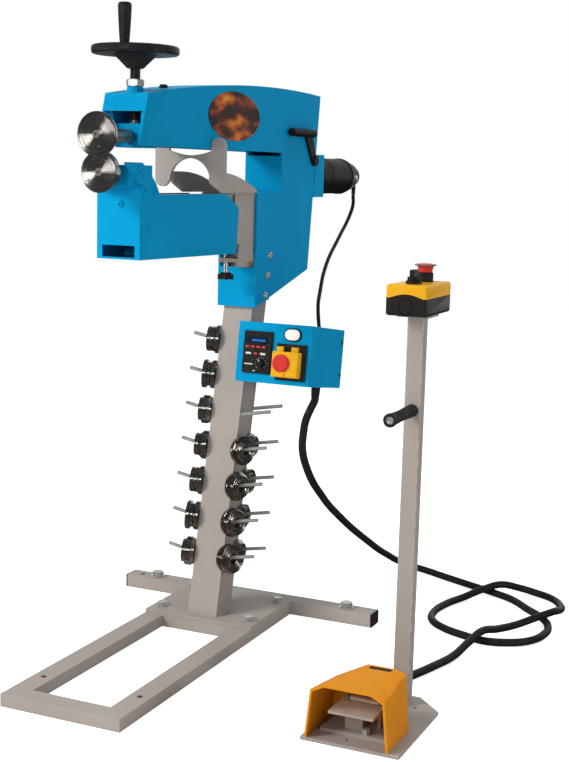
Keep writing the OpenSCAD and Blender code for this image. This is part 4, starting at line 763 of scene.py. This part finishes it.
# Adjusting screw and handwheel: a black screw with a bright lock nut rises through the boss, and a dished
# wheel of black bakelite with a free-turning handle is keyed to its top.
AT_SCREW = ON_HEAD @ shift(0, -503, 0)
thread = [(0, 96.5), (8.6, 96.5)]
for i in range(52):
    z = 98 + 2.5 * i
    thread += [(8.7, z), (10, z + 0.9), (10, z + 1.5), (8.7, z + 2.4)]
blued = bright("blued", (0.06, 0.06, 0.065), 0.32)
screw = placed(turned("threaded_screw", thread + [(8.6, 228.2), (0, 228.2)], 40), AT_SCREW)
settle(screw, blued, "black_metal", "adjusting_screw")
nut = hexagon("lock_nut", 30, 13)
smooth(nut, 25)
settle(placed(nut, AT_SCREW @ shift(0, 0, 158.5) @ spun(14, "Z")), zinc, "steel", body="handwheel_screw")
wheel = placed(turned("dished_wheel", [
    (10.1, 191), (15, 191), (17, 192.5), (21, 197), (41, 216), (79, 216), (82, 219.5), (82, 228.5), (79, 232),
    (46, 232), (40, 229), (36, 226), (21, 226), (17, 232), (10.1, 232), (10.1, 191)], 96, 2.2), AT_SCREW)
settle(wheel, bakelite, "black_plastic", "handwheel")
at_handle = AT_SCREW @ spun(-80, "Z") @ shift(56, 0, 232.5)
handle = placed(turned("wheel_grip", [
    (0, 0), (8.2, 0), (9, 1), (9, 4), (9.6, 9), (10.6, 24), (11.8, 44), (12.5, 60), (12.5, 68),
    (10.5, 71.4), (8, 72), (0, 72)], 48, 1.6), at_handle)
settle(handle, bakelite, "black_plastic", "handwheel_handle")

# Gauge: a forked fence with two side cheeks of grey coated plate slides along the lower arm. A star knob on a
# bright screw clamps it from below.
rounded("gauge_fence", 1.6, coat_grey, "grey_paint", 3)
AT_CLAMP = ON_HEAD @ shift(0, -115, 0)
stem = placed(turned("clamp_stem", [
    (0, -212), (5, -212), (5, -158), (4, -156.6), (0, -156.5)], 32, 0.3), AT_CLAMP)
settle(stem, zinc, "steel", "gauge_screw")
star = []
for i in range(72):
    a = i * math.tau / 72
    r = 17.2 + 1.8 * math.cos(6 * a)
    star.append((r * math.cos(a), r * math.sin(a), -224))
knob = raised("clamp_knob", star, [(0, 10), (6, 4)])
ease_edges(knob, 1.4, 3)
smooth(knob)
settle(placed(knob, AT_CLAMP), bakelite, "black_plastic", body="gauge_clamp")

# Clutch lever: a flat steel arm on a pin through the right side plate, with a ribbed black rubber grip.
# It stands upright at rest and the grip points forward.
rounded("clutch_lever", 1.2, satin_black, "black_metal", 2)
sleeve = [(0, 0), (8.4, 0.2)]
for i in range(20):
    y = 4 + 5 * i
    sleeve += [(9.0, y), (9.0, y + 3), (8.5, y + 3.4), (8.5, y + 4.6)]
grip = turned("lever_grip", sleeve + [(9, 105), (9, 118), (7.5, 124.5), (4, 127.5), (0, 128)], 28)
settle(placed(grip, ON_HEAD @ shift(56.5, 215, 97) @ FACE_FRONT), rubber, "black_rubber", body="lever")

# Control box: folded sheet steel in the head's blue, screwed to the right of the column and leaning back a
# little. Two screws close its side.
ON_BOX = shift(0, -140.108, 547) @ spun(-8.3, "X")
rounded("control_box", 1.6, enamel_blue, "blue_paint", 3)
side_screws = []
for y, z in ((176, 102), (176, 30)):
    side_screws.append(placed(button_screw(5), ON_BOX @ shift(207, y, z) @ spun(90, "Y")))
side_screws = joined("box_screws", side_screws)
smooth(side_screws, 25)
settle(side_screws, blued, "steel", body="machine")

# Inverter: a black moulded drive let into the front of the box. It has a dark display, a row of red keys, a row
# of pale keys, a speed knob in a ring of ticks and small light strips.
rounded("inverter", 1.5, bakelite, "black_plastic", 3)


def glowing(name, colour, strength, gloss):
    made, tone = finish(name)
    speck = tone.noise(240, 2)
    tone.surface(Base_Color=speck.blend(shade(colour, 0.9), shade(colour, 1.1)), Roughness=gloss + speck * 0.08,
                 Emission_Color=colour, Emission_Strength=strength, Coat_Weight=0.5, Coat_Roughness=0.08)
    return made


def key_row(name, z, spots, material, w=9.0, h=4.6):
    keys = [block("key", (x - w / 2, -8.4, z - h / 2), (x + w / 2, -5.5, z + h / 2), 1.1) for x in spots]
    return settle(placed(joined(name, keys), ON_BOX), material, "black_plastic", body="machine")


key_red = moulded("key_red", (0.52, 0.05, 0.05), 0.35, 900, 0.00005, 0.03)
key_pale = moulded("key_pale", (0.6, 0.6, 0.55), 0.4, 900, 0.00005, 0.03)
settle(placed(block("display_glass", (57, -7.2, 85), (113, -5.6, 98), 0.7), ON_BOX),
       glowing("display_glass", (0.004, 0.012, 0.03, 1), 0.0, 0.08), "black_plastic", body="machine")
settle(placed(block("display_light", (72, -7.7, 88), (104, -7.0, 93), 0.3), ON_BOX),
       glowing("display_light", (0.01, 0.09, 0.3, 1), 0.5, 0.2), "black_plastic", body="machine")
key_row("red_keys", 76.5, (62, 75, 88, 101), key_red)
key_row("red_key_low", 62, (83,), key_red)
key_row("pale_keys", 62, (66, 100), key_pale, 13)
key_row("light_strip", 39, (68,), key_pale, 20, 2.6)
key_row("foot_strip", 25, (82,), key_pale, 6, 2.4)
knurl = []
for i in range(48):
    a = i * math.tau / 48
    r = 9.0 - 0.55 * (i % 2)
    knurl.append((r * math.cos(a), r * math.sin(a), 0))
speed = raised("speed_dial", knurl, [(0, 9.5), (1.8, 2.6)])
ease_edges(speed, 0.3, 1, None, 50)
smooth(speed, 25)
AT_DIAL = ON_BOX @ shift(96.88, -6.5, 41.6) @ FACE_FRONT
settle(placed(speed, AT_DIAL), bakelite, "black_plastic", "speed_knob")
settle(placed(block("dial_mark", (-0.7, 3, 11.9), (0.7, 8, 12.5), 0.2), AT_DIAL), key_pale, "white_plastic",
       body="speed_dial")
ticks = []
for i in range(11):
    tick = block("tick", (-0.45, 11.2, -0.4), (0.45, 13.6, 0.5), 0.15, 1)
    ticks.append(placed(tick, AT_DIAL @ spun(-135 + 27 * i, "Z")))
settle(joined("dial_ticks", ticks), key_pale, "white_plastic", body="machine")

# Pilot lamp: an oval white lens in a thin dark bezel, clipped into the front of the box.
# The lens rises in low steps to a flat top.
AT_LAMP = ON_BOX @ shift(164, 0, 107.9) @ FACE_FRONT


def slotted(name, wide, high, steps):
    """A button with two round ends, built up in steps."""
    r, half = high / 2, (wide - high) / 2
    bend = [math.pi * (i / 20 - 0.5) for i in range(21)]
    end = [(half + r * math.cos(a), r * math.sin(a), 0) for a in bend]
    piece = raised(name, end + [(-x, -y, 0) for x, y, z in end], steps)
    smooth(piece, 40)
    return placed(piece, AT_LAMP)


bezel = slotted("lamp_bezel", 40, 28, [(0, 3.4), (0.8, 0.9), (1.4, 0), (0.3, -2.4)])
settle(bezel, satin_black, "black_plastic", body="machine")
lens = slotted("lamp_lens", 34.6, 22.6, [(0, 4.2), (0.8, 1.0), (1.6, 0.8), (2.4, 0.6), (2.4, 0.3)])
settle(lens, glowing("lamp_lens", (0.82, 0.83, 0.8, 1), 0.12, 0.22), "white_plastic", "pilot_lamp")

# Power switch: a black plate with two hinge knuckles carries a hinged yellow flap, whose round red pad stops
# the machine when it is struck.
rounded("switch_base", 1.4, bakelite, "black_plastic", 3)
amber = moulded("amber", (0.72, 0.36, 0.012), 0.34, 700, 0.00008, 0.03)
signal_red = moulded("signal_red", (0.56, 0.035, 0.028), 0.3, 800, 0.00006, 0.02)
flap = [block("flap", (128, -22, 16), (191, -4.6, 71), 3.0),
        block("flap_step", (176, -23, 18), (189, -20, 69), 1.4),
        block("flap_lug", (134, -14, 66), (150, -4.8, 82), 2.6),
        block("flap_lug", (168, -14, 66), (184, -4.8, 82), 2.6),
        block("flap_tab", (141, -24.5, 17), (160, -20, 30), 1.6)]
settle(placed(joined("switch_flap_moulded", flap), ON_BOX), amber, "yellow_plastic", "switch_flap")
AT_PAD = ON_BOX @ shift(150.68, -22.5, 45.76) @ FACE_FRONT
pad = placed(turned("stop_pad", [
    (0, -1.5), (19.2, -1.5), (19.2, 2.0), (18.2, 4.6), (15.6, 5.7), (12.6, 5.9), (11.6, 5.2), (6, 4.6),
    (0, 4.5)], 48, 0.8), AT_PAD)
settle(pad, signal_red, "red_plastic", body="power_flap")

# Stand: a floor plate with cut corners, a slim rectangular post with round corners and a small head plate, all
# grey coated. A black rubber grip sticks out of the post.
rounded("stand_plate", 0.9, coat_grey, "grey_paint", 2)
rounded("stand_post", 0.6, coat_grey, "grey_paint", 2, None, None,
        (2.6, 4, lambda m, d: d.length > 600 and (abs(abs(m.x - 536) - 16) < 0.2)))
ON_STAND = shift(536, -408, 0)
AT_GRIP = ON_STAND @ shift(0, -12, 572) @ FACE_FRONT
grip_outline = [(0, 0), (11.6, 0), (12, 1), (11, 12)]
for i in range(14):
    y = 18 + 6 * i
    r = 10.4 + 0.5 * math.cos((y - 20) / 14.0)
    grip_outline += [(r, y), (r + 0.5, y + 1.2), (r + 0.5, y + 3.6), (r, y + 4.8)]
post_grip = placed(turned("post_grip_sleeve", grip_outline + [
    (11, 106), (12.6, 114), (12.6, 119), (11, 121.6), (8.4, 122), (8, 120), (7.6, 111),
    (0, 111)], 36, 0.4), AT_GRIP)
settle(post_grip, rubber, "black_rubber", "post_grip")
grip_core = placed(turned("post_grip_core", [
    (0, 110.5), (7.5, 110.5), (7.5, 119.5), (6.2, 120.4), (5, 119.5), (0, 118.5)], 32, 0.4), AT_GRIP)
settle(grip_core, zinc, "steel", body="machine")

# Control station: a two-part plastic enclosure on the post, black below and yellow above, parted along a line
# that arches up at the ends. It carries a mushroom stop and a selector, each in a black collar, and a knock-out.
def parting(name, top):
    """A body above or below the line at which the enclosure parts."""
    bpy.ops.object.select_all(action="DESELECT")
    bpy.ops.mesh.primitive_grid_add(x_subdivisions=32, y_subdivisions=48, size=1)
    piece = bpy.context.object
    piece.name = piece.data.name = name
    for vertex in piece.data.vertices:
        x, y = vertex.co.x * 90, vertex.co.y * 156
        arch = max(0.0, math.cos(math.pi * x / 62)) * 7 * (abs(y) > 60)
        vertex.co = Vector((x - 4, y + 12, 780.5 + arch)) * 0.001
    bpy.ops.object.mode_set(mode="EDIT")
    bpy.ops.mesh.select_all(action="SELECT")
    bpy.ops.mesh.extrude_region_move(TRANSFORM_OT_translate={"value": (0, 0, top * 0.001)})
    bpy.ops.mesh.select_all(action="SELECT")
    bpy.ops.mesh.normals_make_consistent(inside=False)
    bpy.ops.object.mode_set(mode="OBJECT")
    return piece


tray = block("station_tray", (-43, -58, 748), (35, 82, 804), 5.0, 4)
lid = another(tray, Matrix())
cut(tray, parting("tray_parting", 60))
cut(lid, parting("lid_parting", -60))
cut(tray, placed(turned("knock_out", [(13.2, -1.2), (14.5, -1.2), (14.5, 1), (13.2, 1), (13.2, -1.2)], 40),
                 shift(-4, -58, 765) @ FACE_FRONT))
stop_spot, selector_spot = shift(-4, 44, 0), shift(-4, -19, 0)
collars = [placed(turned("collar", [
    (13.9, 803), (15, 803), (15, 820), (14.4, 821), (13.9, 820.6), (13.9, 803)], 40, 0.2), stop_spot)]
collars.append(placed(turned("collar", [
    (0, 803), (14.5, 803), (14.5, 809), (13.5, 810), (0, 810)], 40, 0.6), selector_spot))
tray = joined("station_tray_moulded", [tray] + collars)
smooth(tray)
settle(placed(tray, ON_STAND), bakelite, "black_plastic", "station_base")
smooth(lid)
settle(placed(lid, ON_STAND), amber, "yellow_plastic", "station_lid")
lid.name = "station_lid_moulded"
AT_STOP = ON_STAND @ stop_spot
stop = placed(turned("stop_mushroom", [
    (0, 821.5), (13, 821.5), (13.2, 824), (13.6, 828), (15.6, 833), (16, 833.5), (16, 836),
    (12, 837.2), (0, 837.6)], 48, 0.5), AT_STOP)
settle(stop, signal_red, "red_plastic", "estop_button")
brim = placed(turned("stop_brim", [
    (15.6, 833), (19.6, 833.6), (20, 834.3), (20, 835.4), (19.4, 836), (15.6, 836.4),
    (15.6, 833)], 48, 0.3), AT_STOP)
settle(brim, moulded("brim_grey", (0.16, 0.13, 0.12), 0.4), "black_plastic", body=carrier["estop_button"])
rounded("selector_knob", 1.4, bakelite, "black_plastic", 3)

# Foot pedal: a moulded orange guard, open towards the foot, stands over a steel base. The slot across its hood is
# not cut: a black strip there is painted shade.
# A ribbed cast treadle is hinged on a pin in it, above a stop bolt.
alloy = bright("alloy", (0.74, 0.66, 0.56), 0.55)
guard_orange = moulded("guard_orange", (0.66, 0.24, 0.006), 0.36, 600, 0.0001, 0.04)
rounded("pedal_guard", 1.6, guard_orange, "yellow_plastic", 3)
rounded("pedal_base", 0.8, coat_grey, "grey_paint", 2)
rounded("treadle", 0.8, alloy, "steel", 2)
tread = [block("tread", (-64, y, 56.6), (20, y + 2, 57.9), 0.5, 1) for y in range(-213, -155, 5)]
settle(placed(joined("treadle_ribs", tread), ON_STAND), alloy, "steel", body=carrier["treadle"])
# A black strip on the hood paints the shade inside a slot that is not cut.
slot_shade = placed(block("hood_slot_shade", (-20, -136, 115.4), (22, -125, 117.6), 0.8), ON_STAND)
settle(slot_shade, satin_black, "black_plastic", body="machine")

# Cable glands: black nylon glands with a dome nut at the back of the box and of the pedal, and tapered sleeves
# where the cords leave the motor and the box. One spare gland waits for the mains lead.
rounded("cable_glands", 0.6, bakelite, "black_plastic", 2)

# Studio: a plain pale floor under a soft lamp high on the left, a wide one above and three small ones that draw
# bright wedges on turned steel. The camera sees floor and backdrop as white. Metal mirrors that white only
# towards the back, and mirrors the floor as dim.
bpy.ops.object.select_all(action="DESELECT")
bpy.ops.mesh.primitive_plane_add(size=14, location=(0, 0, -0.0002))
floor = bpy.context.object
floor.name = "studio_floor"
made, tone = finish("studio_floor")
seen = tone.node("ShaderNodeLightPath", output=0)
mirrored = tone.node("ShaderNodeLightPath", output=3)
pale, dim = (0.8, 0.8, 0.8, 1), (0.06, 0.06, 0.06, 1)
matte = tone.node("ShaderNodeBsdfDiffuse", {}, {"Color": mirrored.blend(pale, dim)})
white = tone.node("ShaderNodeEmission", {}, {"Color": (1, 1, 1, 1), "Strength": 0.72})
lit = tone.node("ShaderNodeAddShader", {}, {0: matte, 1: white})
mixed = tone.node("ShaderNodeMixShader", {}, {0: seen, 1: matte, 2: lit})
tone.node("ShaderNodeOutputMaterial", {}, {"Surface": mixed})
floor.data.materials.append(made)

world = bpy.data.worlds.new("studio")
bpy.context.scene.world = world
world.use_nodes = True
world.node_tree.nodes.clear()
tone = Tone(world.node_tree)
camera_ray = tone.node("ShaderNodeLightPath", output=0)
glossy_ray = tone.node("ShaderNodeLightPath", output=3)
clear_ray = tone.node("ShaderNodeLightPath", output=6)
way = tone.node("ShaderNodeTexCoord", output=0)
depth = tone.node("ShaderNodeSeparateXYZ", {}, {0: way}, 1)
backdrop = depth.between(0.45, 0.9)
shown = tone.maths("MAXIMUM", tone.maths("MAXIMUM", camera_ray, clear_ray), glossy_ray * backdrop)
gloom = tone.node("ShaderNodeMapRange", {}, {0: glossy_ray, 3: 0.40, 4: 0.06})
sky = tone.node("ShaderNodeBackground", {}, {"Color": (0.97, 0.98, 1.0, 1), "Strength": gloom})
plain = tone.node("ShaderNodeBackground", {}, {"Color": (1, 1, 1, 1), "Strength": 1.0})
mixed = tone.node("ShaderNodeMixShader", {}, {0: shown, 1: sky, 2: plain})
tone.node("ShaderNodeOutputWorld", {}, {"Surface": mixed})


def softbox(name, place, aim, size, power, mirrored=False):
    lamp = bpy.data.lights.new(name, "AREA")
    lamp.shape, lamp.size, lamp.size_y, lamp.energy = "RECTANGLE", size[0], size[1], power
    holder = bpy.data.objects.new(name, lamp)
    bpy.context.scene.collection.objects.link(holder)
    holder.location = place
    holder.visible_glossy = mirrored
    holder.rotation_euler = (Vector(aim) - Vector(place)).to_track_quat("-Z", "Y").to_euler()
    return holder


softbox("key_softbox", (-2.2, -3.0, 2.6), (0.1, -0.2, 0.7), (1.2, 1.2), 128)
softbox("top_softbox", (0.2, 0.2, 3.4), (0.2, -0.1, 0.0), (2.2, 2.2), 40)
softbox("front_strip", (0.2, -3.6, 1.45), (0.0, -0.6, 1.0), (0.6, 0.6), 16, True)
softbox("left_strip", (-2.4, -2.5, 0.65), (0.0, -0.6, 1.0), (0.6, 0.6), 16, True)
softbox("right_strip", (3.0, -0.6, 0.8), (0.05, -0.1, 0.35), (0.5, 0.5), 15, True)

bpy.context.scene.view_settings.view_transform = "Standard"
